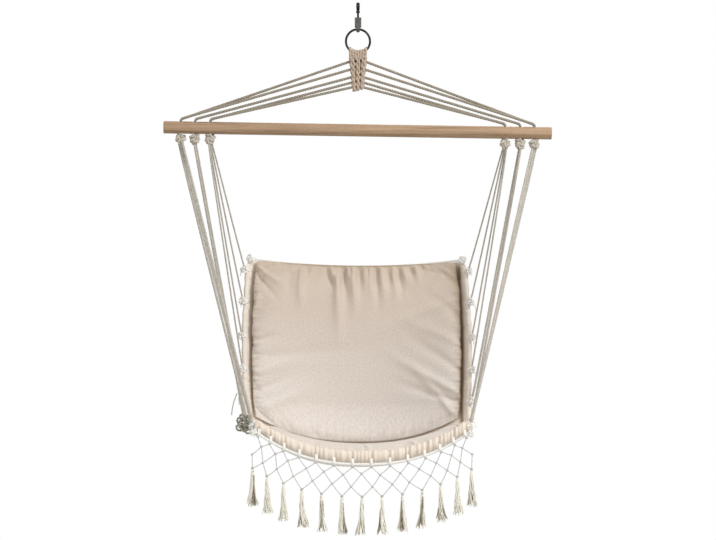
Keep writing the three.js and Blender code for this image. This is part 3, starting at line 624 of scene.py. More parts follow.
def merged_copy(node):
    """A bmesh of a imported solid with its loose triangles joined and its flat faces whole."""
    made = bmesh.new()
    made.from_mesh(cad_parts[node].data)
    bmesh.ops.remove_doubles(made, verts=made.verts, dist=SAME_PLACE)
    bmesh.ops.dissolve_limit(made, angle_limit=math.radians(1), verts=made.verts, edges=made.edges)
    bmesh.ops.recalc_face_normals(made, faces=made.faces)
    return made


def soft_edges(piece, width, segments=2, angle=35):
    bevel = piece.modifiers.new("soft_edges", "BEVEL")
    bevel.width = width
    bevel.segments = segments
    bevel.limit_method = "ANGLE"
    bevel.angle_limit = math.radians(angle)
    bevel.harden_normals = False
    smoother = piece.modifiers.new("true_normals", "WEIGHTED_NORMAL")
    smoother.keep_sharp = False


def build_swivel():
    made = bmesh.new()
    wire_ring(made, EYE_CENTRE, Vector((1, 0, 0)), EYE_RADIUS, EYE_WIRE, steps=72, sides=18)
    bmesh.ops.scale(made, vec=(EYE_WIDTH_SHARE, 1, 1), verts=made.verts)
    top = EYE_CENTRE - EYE_RADIUS - EYE_WIRE / 2
    radii = (STEM_RADIUS, COLLAR_SHOULDER, COLLAR_RADIUS, COLLAR_RADIUS, COLLAR_SHOULDER, STEM_RADIUS)
    collar = [(radius, top - drop) for radius, drop in zip(radii, COLLAR_DROPS)]
    foot = [(STEM_RADIUS, STEM_FOOT + STEM_CHAMFER), (STEM_RADIUS - STEM_CHAMFER, STEM_FOOT), (0, STEM_FOOT)]
    turned(made, [(0, top), *collar, *foot])
    cleaned(made)
    piece = placed("upper_eye", made, finish("dark_steel"))
    soft_edges(piece, 0.0003)
    belongs(piece, "hanger", "dark_steel", "swivel_eye")
    for node in ("swivel_washer", "swivel_nut"):
        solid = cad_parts[node]
        solid.data.materials.clear()
        solid.data.materials.append(finish("dark_steel"))
    block = placed("swivel_block", merged_copy("swivel_body"), finish("grey_steel"))
    soft_edges(block, 0.0006, 3)
    belongs(block, "swivel", "grey_steel", "swivel_body")


def build_ring():
    made = bmesh.new()
    wire_ring(made, RING_CENTRE, Vector((0, 1, 0)), RING_RADIUS, RING_WIRE, steps=120, sides=20)
    cleaned(made)
    piece = placed("steel_ring", made, finish("dark_steel"))
    belongs(piece, "ring", "dark_steel", "hanging_ring")


# Head braid: cords over the ring's lower arc, then columns of bold open chains, front and back
BRAID_COLUMNS, BRAID_STRAND, BRAID_LINK, BRAID_LAY = 3, 0.0034, 0.0176, 0.02
BRAID_TOP_HALF, BRAID_FOOT_HALF = 0.0234, 0.0148
BRAID_DEPTH_SHARE, BRAID_RUN_SHARE = 0.48, 0.965
BRAID_SHOULDER = 0.0075
WRAPS, WRAPS_HALF = 7, 0.0205
CORES, CORES_HALF, CORES_MARGIN = 5, 0.017, 0.006


def braid_half(down):
    """Half width of the head."""
    share = np.clip(np.asarray(down, float) / BRAID_LENGTH, 0, 1)
    return BRAID_TOP_HALF + (BRAID_FOOT_HALF - BRAID_TOP_HALF) * share


def chain(column, face, mate):
    """One of the two strands of a column, crossing its mate at every link."""
    down = np.linspace(0, 1, 110) * BRAID_LENGTH
    half = braid_half(down)
    pitch = (half - 0.0006) * 2 / BRAID_COLUMNS
    phase = math.pi * (down / BRAID_LINK + 0.1 * column * face + 0.3) + math.pi * mate
    middle = pitch * (column - (BRAID_COLUMNS - 1) / 2)
    x = middle + (pitch * 0.5 - BRAID_STRAND * 0.95) * np.sin(phase)
    depth = half * BRAID_DEPTH_SHARE - BRAID_STRAND
    y = face * (depth - 0.0012 + 0.0014 * np.cos(phase))
    tuck = face * depth * smooth((down / BRAID_LENGTH - 0.93) / 0.07) * 0.6
    drop = down * BRAID_RUN_SHARE + 0.003 * np.sin(column * 2.1 + 1) * down / BRAID_LENGTH
    return np.stack([x, y - tuck, RING_FOOT - BRAID_SHOULDER - drop], axis=1)


def over_ring(x):
    """A cord that comes up the front, over the ring's lower arc and down the back."""
    wire = RING_CENTRE - math.sqrt(RING_RADIUS ** 2 - x ** 2)
    reach = RING_WIRE + BRAID_STRAND + 0.0002
    turn = np.linspace(0, math.pi, 13)
    over = np.stack([np.full(13, x), -reach * np.cos(turn), wire + reach * np.sin(turn) * 0.92], axis=1)
    leg = np.array(((x * 0.93, 0, RING_FOOT - 0.014), (x * 0.97, 0, wire - 0.003)))
    out = np.array((0, 0.0068, 0))
    return softened(np.concatenate([leg - out, over, leg[::-1] + out]), 1)


def braid_edge(side):
    """The cord that shows along the head's side, bulging at each link."""
    down = np.linspace(0, BRAID_LENGTH * 0.95, 90)
    bulge = 0.0026 * np.abs(np.sin(down * math.pi / BRAID_LINK + 0.6))
    x = side * (braid_half(down) - 0.0052 + bulge)
    return np.stack([x, 0 * down, RING_FOOT - 0.008 - down * BRAID_RUN_SHARE], axis=1)


def build_braid():
    columns = range(BRAID_COLUMNS)
    chains = [chain(column, face, mate) for column in columns for face in (-1, 1) for mate in (0, 1)]
    wraps = [over_ring(x) for x in np.linspace(-WRAPS_HALF, WRAPS_HALF, WRAPS)]
    groups = []
    for paths in (chains, wraps):
        laid = [s for i, path in enumerate(paths) for s in strands(path, BRAID_STRAND, 2, BRAID_LAY, i)]
        groups.append((laid, BRAID_STRAND * 0.66, 1))
    groups.append(([braid_edge(side) for side in (-1, 1)], BRAID_STRAND, 2))
    swept("knotted_head", groups, "braid", "bar_frame", "tan_cord", "head_braid")
    # The core cords inside the braid, in a dark finish that is painted shade showing through its holes.
    top, foot = RING_FOOT - CORES_MARGIN, BRAID_FOOT + CORES_MARGIN
    cores = [np.array(((x, 0, top), (x * 0.6, 0, foot))) for x in np.linspace(-CORES_HALF, CORES_HALF, CORES)]
    swept("head_core", [(cores, BRAID_STRAND, 1)], "core", "bar_frame", "tan_cord")


# Upper cords
CORD_END = 0.009


def upper_path(side, hole, pair_place, exit_drop):
    """From inside the head down to the bar, bent into the hole and on into the knot."""
    across = pair_place * PAIR_SPREAD
    start = np.array((0, across * 0.25, RING_FOOT - exit_drop + CORD_END))
    x = side * HOLE_PLACES[hole]
    rim = on_bar(x, across, BAR_RADIUS)
    bend = math.pi / 2 - math.atan2(start[2] - rim[2], abs(rim[0]))
    points = [start]
    for turn in bend * np.linspace(1, 0, 9):
        inward = BEND_RADIUS * (1 - math.cos(turn))
        points.append(on_bar(x - side * inward, across, BAR_RADIUS + BEND_RADIUS * math.sin(turn)))
    points.append(on_bar(x, across * 0.8, -BAR_RADIUS))
    points.append(on_bar(x, across * 0.5, -KNOT_DROP + CORD_END))
    return np.array(points)


def build_upper_cords():
    holes = [(hole, i) for hole, count in enumerate(CORDS_IN_HOLE) for i in range(count)]
    for word, side in SIDES:
        for number, (hole, i) in enumerate(holes, 1):
            pair_place = 0 if CORDS_IN_HOLE[hole] == 1 else 1 - 2 * i
            path = upper_path(side, hole, pair_place, UPPER_EXIT_DROPS[number - 1])
            laid = strands(path, UPPER_RADIUS, phase=number * 1.7)
            swept(
                f"upper_rope_{word}_{number}", [(laid, UPPER_RADIUS * STRAND_SHARE, 1)],
                "fan", "bar_frame", "upper_cord", f"upper_cord_{word}_{number}")


# Spreader bar
def build_bar():
    made = bmesh.new()
    bmesh.ops.create_cone(
        made, cap_ends=True, cap_tris=False, segments=72,
        radius1=BAR_RADIUS, radius2=BAR_RADIUS, depth=BAR_LENGTH)
    rims = [edge for edge in made.edges if abs(edge.verts[0].co.z - edge.verts[1].co.z) < SAME_PLACE]
    bmesh.ops.bevel(made, geom=rims, offset=BAR_EDGE, segments=4, profile=0.5, affect="EDGES", material=-1)
    tilt = Matrix.Rotation(BAR_TILT, 4, "Y")
    laid_down = Matrix.Translation((0, 0, -BAR_DROP)) @ tilt @ Matrix.Rotation(math.pi / 2, 4, "Y")
    bmesh.ops.transform(made, matrix=laid_down, verts=made.verts)
    bar = placed("wooden_bar", made, finish("wood"))
    drill = bmesh.new()
    for place in HOLE_PLACES:
        for _, side in SIDES:
            bmesh.ops.create_cone(
                drill, cap_ends=True, segments=40, radius1=HOLE_RADIUS, radius2=HOLE_RADIUS,
                depth=BAR_RADIUS * 3, matrix=Matrix.Translation(on_bar(side * place, 0, 0)) @ tilt)
    cutter = placed("drill", drill, finish("wood"))
    cut = bar.modifiers.new("holes", "BOOLEAN")
    cut.operation = "DIFFERENCE"
    cut.object = cutter
    drilled = shaped_mesh(bar)
    bar.modifiers.clear()
    bar.data = drilled
    bpy.data.objects.remove(cutter)
    soft_edges(bar, 0.0008, 2, 50)
    belongs(bar, "bar_frame", "wood", "spreader_bar")


# Stopper knots, each of two overhands drawn into each other
KNOT_STRAND, KNOT_LAY = 0.0026, 0.024


def knot_centre(side, hole):
    return on_bar(side * HOLE_PLACES[hole], 0, -KNOT_DROP)


def build_knots():
    for word, side in SIDES:
        for hole in range(len(HOLE_PLACES)):
            centre = knot_centre(side, hole)
            tilt = 0.5 + 1.3 * hole + 0.7 * side
            upper = overhand(centre + np.array((0, 0, 0.0016)), 0.0112, tilt, 1.4)
            lower = overhand(centre + np.array((0.0008 * side, 0.0004, -0.0034)), 0.0098, tilt + 0.9, 1.45)
            laid = strands(upper, 0.0044, 2, KNOT_LAY) + strands(lower, 0.0042, 2, KNOT_LAY)
            swept(
                f"tied_knot_{word}_{hole + 1}", [(laid, KNOT_STRAND, 2)],
                "knot", "bar_frame", "cream_cord", f"stopper_knot_{word}_{hole + 1}")


# Side cords, each hitched round the hem rope
HITCH_REACH, HITCH_CLIMB, TIE_REACH, TIE_DROP = 0.0024, 0.0048, 0.0092, 0.0075
TAIL_LENGTHS = (0.012, 0.026)


def hem_frame(side, place):
    """Middle of the hem rope at a place, and its direction there."""
    axis = hem_at(side, place + ROPE_RADIUS) - hem_at(side, place - ROPE_RADIUS)
    return hem_at(side, place), axis / np.linalg.norm(axis)


def side_cord_paths(side, index):
    """The cord from its knot to the hem, its loops, its tie and the directions at the tie."""
    hole = LOOP_HOLES[index]
    mates = [i for i, h in enumerate(LOOP_HOLES) if h == hole]
    fan = ((len(mates) - 1) / 2 - mates.index(index)) * CORD_FANS[hole]
    knot = knot_centre(side, hole)
    centre, axis = hem_frame(side, LOOP_PLACES[index])
    towards = knot - centre
    square = towards - axis * towards.dot(axis)
    square /= np.linalg.norm(square)
    other = np.cross(axis, square)
    reach = ROPE_RADIUS + HITCH_REACH
    across = FANS_ACROSS[hole]
    down = -math.sqrt(KNOT_RADIUS ** 2 - fan ** 2)
    outwards = np.array((side * fan * across, fan * math.sqrt(1 - across ** 2), down))
    hitch = centre + square * (reach + TIE_DROP)
    line = [knot + outwards * 0.55, knot + outwards * 1.1, hitch, centre + square * reach * 0.9]
    loops = circle(centre, square, other, reach, 44, 2.0, axis * HITCH_CLIMB)
    tie = overhand((0, 0, 0), TIE_REACH, 0.8 * index + side, 1.3, 40)
    return softened(np.array(line)), loops, hitch + tie, (hitch, square, other)


def tail_path(hitch, square, other, side, length, bend):
    """The short end that hangs from a tie."""
    out = np.array((side * 0.6, 0, 0)) + other * bend * 0.4 + square * 0.2
    t = np.linspace(0, 1, 14)[:, None]
    return hitch + out * length * 0.55 * np.sin(t * 1.6) + np.array((0, 0, -1)) * length * t ** 1.6


def build_side_cords():
    chance = random.Random(11)
    for word, side in SIDES:
        for index in range(len(LOOP_PLACES)):
            line, loops, tie, directions = side_cord_paths(side, index)
            radius = SIDE_RADII[LOOP_HOLES[index]]
            tail = tail_path(*directions, side, chance.uniform(*TAIL_LENGTHS), chance.choice((-1, 1)))
            laid = strands(line, radius, phase=index)
            tied = strands(loops, 0.0023, 2, 0.011) + strands(tie, 0.0036, 2, 0.014)
            thin = strands(tail, 0.0016, 2, 0.007)
            swept(
                f"side_rope_{word}_{index + 1}", [(laid, radius * STRAND_SHARE, 1)],
                "taut", "seat", "cream_cord", f"side_cord_{word}_{index + 1}")
            swept(
                f"side_tie_{word}_{index + 1}", [(tied, 0.0018, 1), (thin, 0.00095, 1)],
                "cord", "seat", "cream_cord")


# Spare cord: a bundle at the left front corner, and the one loose end over it, both coloured a dark
# grey-green copy of the cord as painted shade
BUNDLE_PLACE, BUNDLE_OFFSET = 0.795, np.array((-0.0275, 0.008, 0.021))
BUNDLE_LOOPS = (
    ((0, 0, 0), 0.0170, 0.4, 1.0),
    ((-0.003, 0.004, -0.009), 0.0150, 1.5, 1.2),
    ((0.002, 0.003, 0.008), 0.0135, 2.3, 1.1),
    ((0.009, 0.005, -0.013), 0.0140, 3.0, 1.0),
)
LOOSE_RADIUS, LOOSE_HEIGHT = 0.0014, -1.0
LOOSE_OFFSET, LOOSE_RUN, LOOSE_BOW = (-0.0055, -0.001, 0.0), (-0.014, -0.004, -0.057), 0.003


def build_spare_cord():
    middle = hem_at(-1, np.array((BUNDLE_PLACE,)))[0] + BUNDLE_OFFSET
    loops = [overhand(middle + np.array(shift), *shape) for shift, *shape in BUNDLE_LOOPS]
    bundle = all_strands(loops, 0.0026, 2, 0.016)
    swept("spare_bundle", [(bundle, 0.0016, 1)], "spare", "seat", "cream_cord")
    lines = [side_cord_paths(-1, index)[0] for index in range(5, len(LOOP_PLACES))]
    beside = [
        np.array([np.interp(-LOOSE_HEIGHT, -line[:, 2], line[:, k]) for k in range(3)]) for line in lines]
    start = min(beside, key=lambda point: point[0]) + np.array(LOOSE_OFFSET)
    t = np.linspace(0, 1, 24)[:, None]
    line = start + np.array(LOOSE_RUN) * t - np.array((LOOSE_BOW, 0, 0)) * np.sin(t * math.pi)
    end = swept("loose_end", [([line], LOOSE_RADIUS, 1)], "spare", "seat", "cream_cord")


# Hem rope and front rope
def hem_path():
    """Up the left edge, round the top corners and down the right edge."""
    places = np.linspace(SEAT_LENGTH, CORNER_RADIUS + 0.003, 120)
    left, right = hem_at(-1, places), hem_at(1, places[::-1])
    out = CORNER_RADIUS + ROPE_RADIUS + GAP
    turns = np.linspace(0, math.pi / 2, 12)
    span = TOP_HALF - CORNER_RADIUS
    x = span + out * np.cos(turns)
    place = CORNER_RADIUS - out * np.sin(turns)
    top = on_seat(np.linspace(-span, span, 60)[1:-1], -ROPE_RADIUS - GAP)
    return np.concatenate([left, on_seat(-x, place), top, on_seat(x[::-1], place[::-1]), right])


def build_hem_rope():
    laid = strands(hem_path(), ROPE_RADIUS * 0.72)
    ties = []
    for _, side in SIDES:
        corner = on_seat(side * 0.2805, -0.003) + np.array((0, -0.004, 0.002))
        for reach, depth_share, tilt, shift in ((0.0085, 1.3, 0.4, 0.0), (0.0075, 1.7, 1.7, -0.003)):
            tie = overhand(corner + np.array((side * shift, 0, shift)), reach, tilt * side, depth_share)
            ties += strands(tie, 0.0033, 3, 0.014)
    swept(
        "hem_rope_laid", [(laid, ROPE_RADIUS * 0.38, 2), (ties, 0.0018, 1)],
        "cord", "seat", "cream_cord", "hem_rope")


def build_front_rope():
    half = FRONT_HALF + ROPE_RADIUS * 2 + GAP
    laid = strands(front_at(np.linspace(-half, half, 160)), ROPE_RADIUS * 0.85)
    ends = [overhand(front_at(side * half * 0.995), 0.0075, side, 1.2) for _, side in SIDES]
    swept(
        "front_rope_laid", [(laid, ROPE_RADIUS * 0.45, 2), (all_strands(ends, 0.003, 2, 0.012), 0.0017, 1)],
        "cord", "seat", "cream_cord", "front_rope")


# Cloth
BAND_MARGIN, CANVAS_TUCK, CANVAS_CUT, CANVAS_THICKNESS = 0.004, 0.012, 0.64, 0.0012
HEM_SHARE, HEM_TURN = 0.94, math.radians(250)
CANVAS_GRID, CANVAS_UV_HALF = (440, 220), 0.30
GATHER_WIDTH, LOOSE_GATHER = 0.0125, 0.0175


def cloth_grid(name, grid, place_of, uv_of, look):
    """A flat grid moved into shape: place_of takes arrays u and v from -1 to 1 and gives points."""
    made = bmesh.new()
    bmesh.ops.create_grid(made, x_segments=grid[0], y_segments=grid[1], size=1.0)
    flat = np.array([vert.co[:2] for vert in made.verts])
    points = place_of(flat[:, 0], flat[:, 1])
    cloth = uv_of(flat[:, 0], flat[:, 1])
    layer = made.loops.layers.uv.new("cloth")
    made.verts.ensure_lookup_table()
    for vert, point in zip(made.verts, points):
        vert.co = point
    for face in made.faces:
        for loop in face.loops:
            loop[layer].uv = cloth[loop.vert.index]
    return placed(name, made, finish(look)), flat


def add_values(piece, name, values):
    attribute = piece.data.attributes.new(name, "FLOAT", "POINT")
    attribute.data.foreach_set("value", np.asarray(values, np.float32))


def vectors(data, count):
    """The places, normals or other vectors of a mesh as rows."""
    values = np.empty(count * 3, np.float32)
    data.foreach_get("co" if hasattr(data[0], "co") else "vector", values)
    return values.reshape(-1, 3).astype(float)


def wavy(x, length, sway, rate, phase=0.0):
    """A wave of that length whose crests wander from side to side."""
    return np.sin(x * 2 * math.pi / length + sway * np.sin(x * rate) + phase)


def rope_measure():
    """Points of the front rope and the lengths along it, for x from left to right."""
    x = np.linspace(-FRONT_HALF, FRONT_HALF, 401)
    points = front_at(x)
    return x, points, path_lengths(points)


def rope_place(place):
    """Share of the rope's length at a loop's place, counted from the middle; the end loops are closer."""
    share = place / ((NET_LOOPS - 1) / 2)
    return (1 + NET_REACH * (share * (1 + NET_CROWD) - NET_CROWD * share ** 3)) / 2


def row_places(row):
    """Places of a net row's nodes, in loops from the middle."""
    count = NET_LOOPS - row % 2
    return np.arange(count) - (count - 1) / 2


def net_loop_places():
    """x of each net loop on the front rope."""
    x, _, lengths = rope_measure()
    return np.interp(rope_place(row_places(0)) * lengths[-1], lengths, x)


def gathers(x, laces):
    """Uneven folds of the drawn-in front band, tight beside each lace and loose between."""
    near = (x[:, None] - laces[None, :])
    gap = near[np.arange(len(x)), np.abs(near).argmin(axis=1)]
    drawn = bell(gap, GATHER_WIDTH)
    tight = np.cos(gap * 2 * math.pi / GATHER_WIDTH + 2.5 * np.sin(x * 61)) * drawn
    wander = 2.6 * np.sin(x * 29 + 1) + 1.7 * np.sin(x * 83)
    loose = np.sin(x * 2 * math.pi / LOOSE_GATHER + wander) * (1 - drawn)
    swell = 0.6 + 0.4 * np.sin(x * 47 + 2 * np.sin(x * 19))
    return tight * 0.75 + loose * 0.8 * swell, drawn


def build_canvas():
    """Flat under the pads, rolled round the hem rope at its sides and wrapped into a band at the front."""
    s = sizes()
    radius = s.band_radius
    flat_end = SEAT_LENGTH - radius - BAND_MARGIN
    wrap = math.pi * radius
    whole = flat_end + wrap + CANVAS_TUCK
    laces = net_loop_places()

    def place_of(u, v):
        side, out = np.sign(u), np.abs(u)
        run = (v + 1) / 2 * whole
        is_flat = run < flat_end
        place = np.minimum(run, flat_end)
        turn = np.clip((run - flat_end) / radius, 0, math.pi)
        tucked = np.maximum(run - flat_end - wrap, 0)
        half = canvas_half(place)
        at_loop = bell(np.abs(place[:, None] - np.array(LOOP_PLACES)).min(axis=1), 0.011)
        hem = (ROPE_RADIUS + 0.0011 + 0.0007 * np.sin(place * 190 + side)) * (1 - 0.28 * at_loop)
        rolled = smooth((place - 0.012) / 0.02) * (1 - smooth((run - flat_end + 0.012) / 0.016))
        rise = smooth((out - 0.90) / 0.04)
        roll = np.clip((out - HEM_SHARE) / (1 - HEM_SHARE), 0, 1) * HEM_TURN * rolled
        x_flat = np.minimum(out, HEM_SHARE) / HEM_SHARE * (half + (ROPE_RADIUS + GAP) * rolled)
        x_flat = x_flat + np.maximum(out - HEM_SHARE, 0) * 0.06 * (1 - rolled)
        x = side * (x_flat + hem * np.sin(roll))
        folds, drawn = gathers(x, laces)
        near_front = smooth((run - flat_end + 0.03) / 0.04)
        ripple = s.gather_depth * folds * near_front * (0.5 + 0.5 * np.sin(turn))
        ripple = ripple + 0.0016 * wavy(x, 0.019, 2, 17) * np.exp(-run / 0.05)
        scallop = 0.0012 * wavy(place, 0.021, 3, 37, side) * bell(half - np.abs(x), 0.014)
        pull = 0.0046 * drawn * np.sin(np.clip(turn * 0.9, 0, math.pi))
        reach = radius + ripple - pull
        lift = np.where(is_flat, ripple * 0.6 + 0.0008, radius - reach * np.cos(turn))
        lift = lift + (scallop * 0.6 + hem * rise * rolled * np.cos(roll)) * is_flat
        forward = np.where(is_flat, 0.0, reach * np.sin(turn))
        points = on_seat(x, place + forward - tucked, lift)
        at_end = np.clip((out - 0.93) / 0.07, 0, 1) * smooth((run - flat_end) / wrap)
        points[:, 2] -= at_end * radius * 0.9
        return points

    def uv_of(u, v):
        return np.stack([u * CANVAS_UV_HALF, (v + 1) / 2 * whole], axis=1)

    piece, flat = cloth_grid("carrier_cloth", CANVAS_GRID, place_of, uv_of, "canvas")
    run = (flat[:, 1] + 1) / 2 * whole
    to_side = canvas_half(np.minimum(run, flat_end)) * (1 - np.abs(flat[:, 0]))
    add_values(piece, "from_edge", np.minimum(np.minimum(to_side, run), whole - run))
    x = vectors(piece.data.vertices, len(flat))[:, 0]
    # Painted shade: a shadow on the canvas beside the back pad's sides, wider and darker on the right, and
    # shade over the front band, deepest in its gathers' valleys.
    gap = np.abs(x) - through(BACK_PAD["half"], run)
    shadow = np.where(x > 0, 0.85 * bell(gap, 0.006), 0.45 * bell(gap, 0.003))
    shadow *= smooth(run / 0.02) * (run < CREASE_PLACE)
    valleys = np.clip(-gathers(x, laces)[0], 0, 1)
    shadow += smooth((run - flat_end) / 0.01) * (0.09 + 0.16 * valleys)
    add_values(piece, "painted_shade", shadow)
    thicken = piece.modifiers.new("cloth_thickness", "SOLIDIFY")
    thicken.thickness = CANVAS_THICKNESS
    thicken.offset = 0.0
    belongs(piece, "seat", "canvas", "seat_canvas")


# Pads. A fold runs from one x and place to another, with its width and its share of the fold height
PAD_GAP, PAD_FRONT_MARGIN = 0.004, 0.016
BACK_PAD = {
    "name": "back_cushion", "node": "back_pad", "start": -0.005, "end": CREASE_PLACE - PAD_GAP,
    "half": ((-0.005, 0.271), (0.2073, 0.277), (0.4195, 0.273)),
    "folds": (
        (-0.146, 0.02, -0.150, 0.16, 0.011, 0.9), (-0.126, 0.00, -0.130, 0.05, 0.008, -0.5),
        (-0.172, 0.03, -0.185, 0.13, 0.014, -0.5), (-0.077, 0.00, -0.061, 0.085, 0.0050, -1.0),
        (-0.066, 0.00, -0.046, 0.08, 0.007, 0.7), (-0.049, 0.03, -0.052, 0.25, 0.013, 1.2),
        (-0.033, 0.00, -0.030, 0.15, 0.010, -1.3), (-0.022, 0.00, -0.018, 0.07, 0.007, 0.7),
        (-0.008, 0.00, -0.008, 0.17, 0.010, 1.2), (0.008, 0.00, 0.010, 0.12, 0.010, -1.0),
        (0.024, 0.00, 0.024, 0.07, 0.007, 0.5), (0.036, 0.00, 0.039, 0.12, 0.008, 0.8),
        (0.052, 0.00, 0.056, 0.16, 0.009, -0.9), (0.066, 0.00, 0.072, 0.12, 0.009, 0.8),
        (0.082, 0.00, 0.088, 0.07, 0.007, -0.5), (0.096, 0.00, 0.104, 0.13, 0.009, 0.8),
        (0.110, 0.00, 0.119, 0.12, 0.008, -0.8), (0.124, 0.00, 0.133, 0.07, 0.007, 0.5),
        (0.140, 0.00, 0.150, 0.06, 0.007, -0.5), (0.156, 0.00, 0.166, 0.08, 0.008, 0.5),
        (0.172, 0.00, 0.182, 0.04, 0.007, -0.5), (-0.255, 0.02, -0.170, 0.085, 0.010, 0.8),
        (-0.262, 0.035, -0.190, 0.13, 0.009, -0.6), (0.250, 0.01, 0.175, 0.08, 0.011, 0.7),
        (0.262, 0.35, 0.050, 0.22, 0.013, 0.8), (0.262, 0.375, 0.060, 0.30, 0.012, -0.7),
        (0.250, 0.40, 0.130, 0.25, 0.011, 0.7), (0.262, 0.29, 0.100, 0.17, 0.016, -0.6),
        (0.262, 0.22, 0.080, 0.13, 0.016, 0.45), (0.262, 0.15, 0.150, 0.06, 0.015, -0.4),
        (-0.262, 0.30, -0.100, 0.235, 0.015, 0.5), (-0.262, 0.215, -0.190, 0.195, 0.009, -0.6),
        (-0.255, 0.39, -0.060, 0.31, 0.015, 0.55), (-0.262, 0.345, -0.120, 0.28, 0.013, -0.5),
        (-0.262, 0.255, 0.10, 0.22, 0.020, -0.35), (0.262, 0.105, -0.02, 0.21, 0.018, 0.35),
    ),
}
SEAT_PAD = {
    "name": "seat_cushion", "node": "seat_pad", "start": CREASE_PLACE + PAD_GAP,
    "end": SEAT_LENGTH - PAD_FRONT_MARGIN,
    "half": ((CREASE_PLACE + PAD_GAP, 0.268), (SEAT_LENGTH - PAD_FRONT_MARGIN, 0.238)),
    "folds": (
        (-0.24, 0.46, -0.14, 0.50, 0.009, 0.8), (0.25, 0.47, 0.14, 0.52, 0.009, 0.8),
        (-0.03, 0.44, -0.02, 0.54, 0.010, -0.6), (0.08, 0.44, 0.07, 0.52, 0.009, 0.6),
        (-0.10, 0.44, -0.09, 0.51, 0.008, -0.5), (-0.23, 0.66, -0.15, 0.64, 0.008, 0.6),
        (0.23, 0.68, 0.13, 0.66, 0.009, -0.6), (0.02, 0.80, 0.01, 0.73, 0.010, 0.6),
        (-0.12, 0.80, -0.11, 0.74, 0.008, -0.6), (0.13, 0.80, 0.12, 0.74, 0.008, 0.6),
    ),
}
PAD_GRID = (112, 84)
PAD_CLEARANCE, PAD_THICK, RIM_HEIGHT = 0.0035, 0.038, 0.008
RIM_POWER, CROWN_POWER, CROWN_SHARE = 7, 2.6, 0.38
FOLD_LEAD, SEAM_FADE = 0.012, 0.012


def fold_height(folds, x, place):
    """Soft ridges and valleys: each runs from one point to another, strongest near its start."""
    height = np.zeros_like(x)
    for x0, p0, x1, p1, width, share in folds:
        run = np.array((x1 - x0, p1 - p0))
        length = np.linalg.norm(run)
        along = ((x - x0) * run[0] + (place - p0) * run[1]) / length
        aside = (-(x - x0) * run[1] + (place - p0) * run[0]) / length
        done = along / length
        bow = aside - 0.12 * width * np.sin(done * 7)
        fade = bell(bow, width * (0.6 + 0.6 * np.clip(done, 0, 1)))
        ends = smooth((length - along) / length * 1.2) * smooth((along + FOLD_LEAD) / FOLD_LEAD)
        height += share * fade * ends
    return height


def pad_grid(pad):
    """Both faces of a pad as one closed mesh, with its seat coordinates kept beside it."""
    made = bmesh.new()
    top, under = (
        bmesh.ops.create_grid(made, x_segments=PAD_GRID[0], y_segments=PAD_GRID[1], size=1.0)["verts"]
        for _ in range(2))
    turned_over = set(under)
    bmesh.ops.reverse_faces(made, faces=[face for face in made.faces if face.verts[0] in turned_over])
    made.verts.ensure_lookup_table()
    flat = np.array([vert.co[:2] for vert in made.verts])
    is_top = np.arange(len(flat)) < len(top)
    a, b = (0.55 * np.sin(flat * math.pi / 2) + 0.45 * flat).T
    corner = 1 - 0.03 * (a * b) ** 4
    place = pad["start"] + (pad["end"] - pad["start"]) * (1 + b * corner) / 2
    x = through(pad["half"], place) * a * corner
    rim = np.clip((1 - np.abs(a) ** RIM_POWER) * (1 - np.abs(b) ** RIM_POWER), 0, 1)
    crown = (1 - np.abs(a) ** CROWN_POWER) * (1 - np.abs(b) ** CROWN_POWER)
    swell = PAD_THICK * (1 - CROWN_SHARE * (1 - crown))
    rounded = np.sqrt(rim)
    faces = np.where(is_top, (swell - RIM_HEIGHT) * rounded, -(RIM_HEIGHT - 0.0002) * rounded)
    points = on_seat(x, place, PAD_CLEARANCE + RIM_HEIGHT + faces)
    is_rim = np.abs(flat).max(axis=1) > 1 - 1e-5
    layer = made.loops.layers.uv.new("cloth")
    for vert, point in zip(made.verts, points):
        vert.co = point
    for face in made.faces:
        for loop in face.loops:
            loop[layer].uv = (x[loop.vert.index], place[loop.vert.index])
    keep = made.verts.layers.float_vector.new("seat_place")
    for i, vert in enumerate(made.verts):
        vert[keep] = (x[i], place[i], 1.0 if is_top[i] and not is_rim[i] else 0.0)
    rim_verts = [made.verts[i] for i in np.flatnonzero(is_rim)]
    bmesh.ops.remove_doubles(made, verts=rim_verts, dist=SAME_PLACE)
    bmesh.ops.recalc_face_normals(made, faces=made.faces)
    return made


CLOTH_FRAMES = 20
CLOTH_SETTINGS = {
    "quality": 5, "mass": 0.25, "tension_stiffness": 12, "compression_stiffness": 12, "shear_stiffness": 4,
    "bending_stiffness": 0.25, "use_pressure": True, "uniform_pressure_force": 4.0,
    "vertex_group_mass": "seam", "shrink_min": -0.025,
}


def swollen(piece, seat_place, cap):
    """Fills the pad: its cloth is pushed out by pressure while the seam round it is held."""
    before = vectors(piece.data.vertices, len(piece.data.vertices))
    seam = piece.vertex_groups.new(name="seam")
    held = np.flatnonzero(np.abs(seat_place[:, 2]) < 0.5)
    seam.add(held.tolist(), 1.0, "REPLACE")
    cloth = piece.modifiers.new("filling", "CLOTH")
    for name, value in CLOTH_SETTINGS.items():
        setattr(cloth.settings, name, value)
    cloth.settings.effector_weights.gravity = 0
    cloth.point_cache.frame_start = 1
    cloth.point_cache.frame_end = CLOTH_FRAMES
    for step in range(1, CLOTH_FRAMES + 1):
        bpy.context.scene.frame_set(step)
    filled = piece.evaluated_get(bpy.context.evaluated_depsgraph_get())
    shaped = filled.to_mesh()
    moved = vectors(shaped.vertices, len(shaped.vertices)) - before
    filled.to_mesh_clear()
    piece.modifiers.clear()
    piece.vertex_groups.clear()
    bpy.context.scene.frame_set(1)
    length = np.linalg.norm(moved, axis=1)[:, None]
    return before + moved * (cap * np.tanh(length / cap) / np.maximum(length, 1e-9))


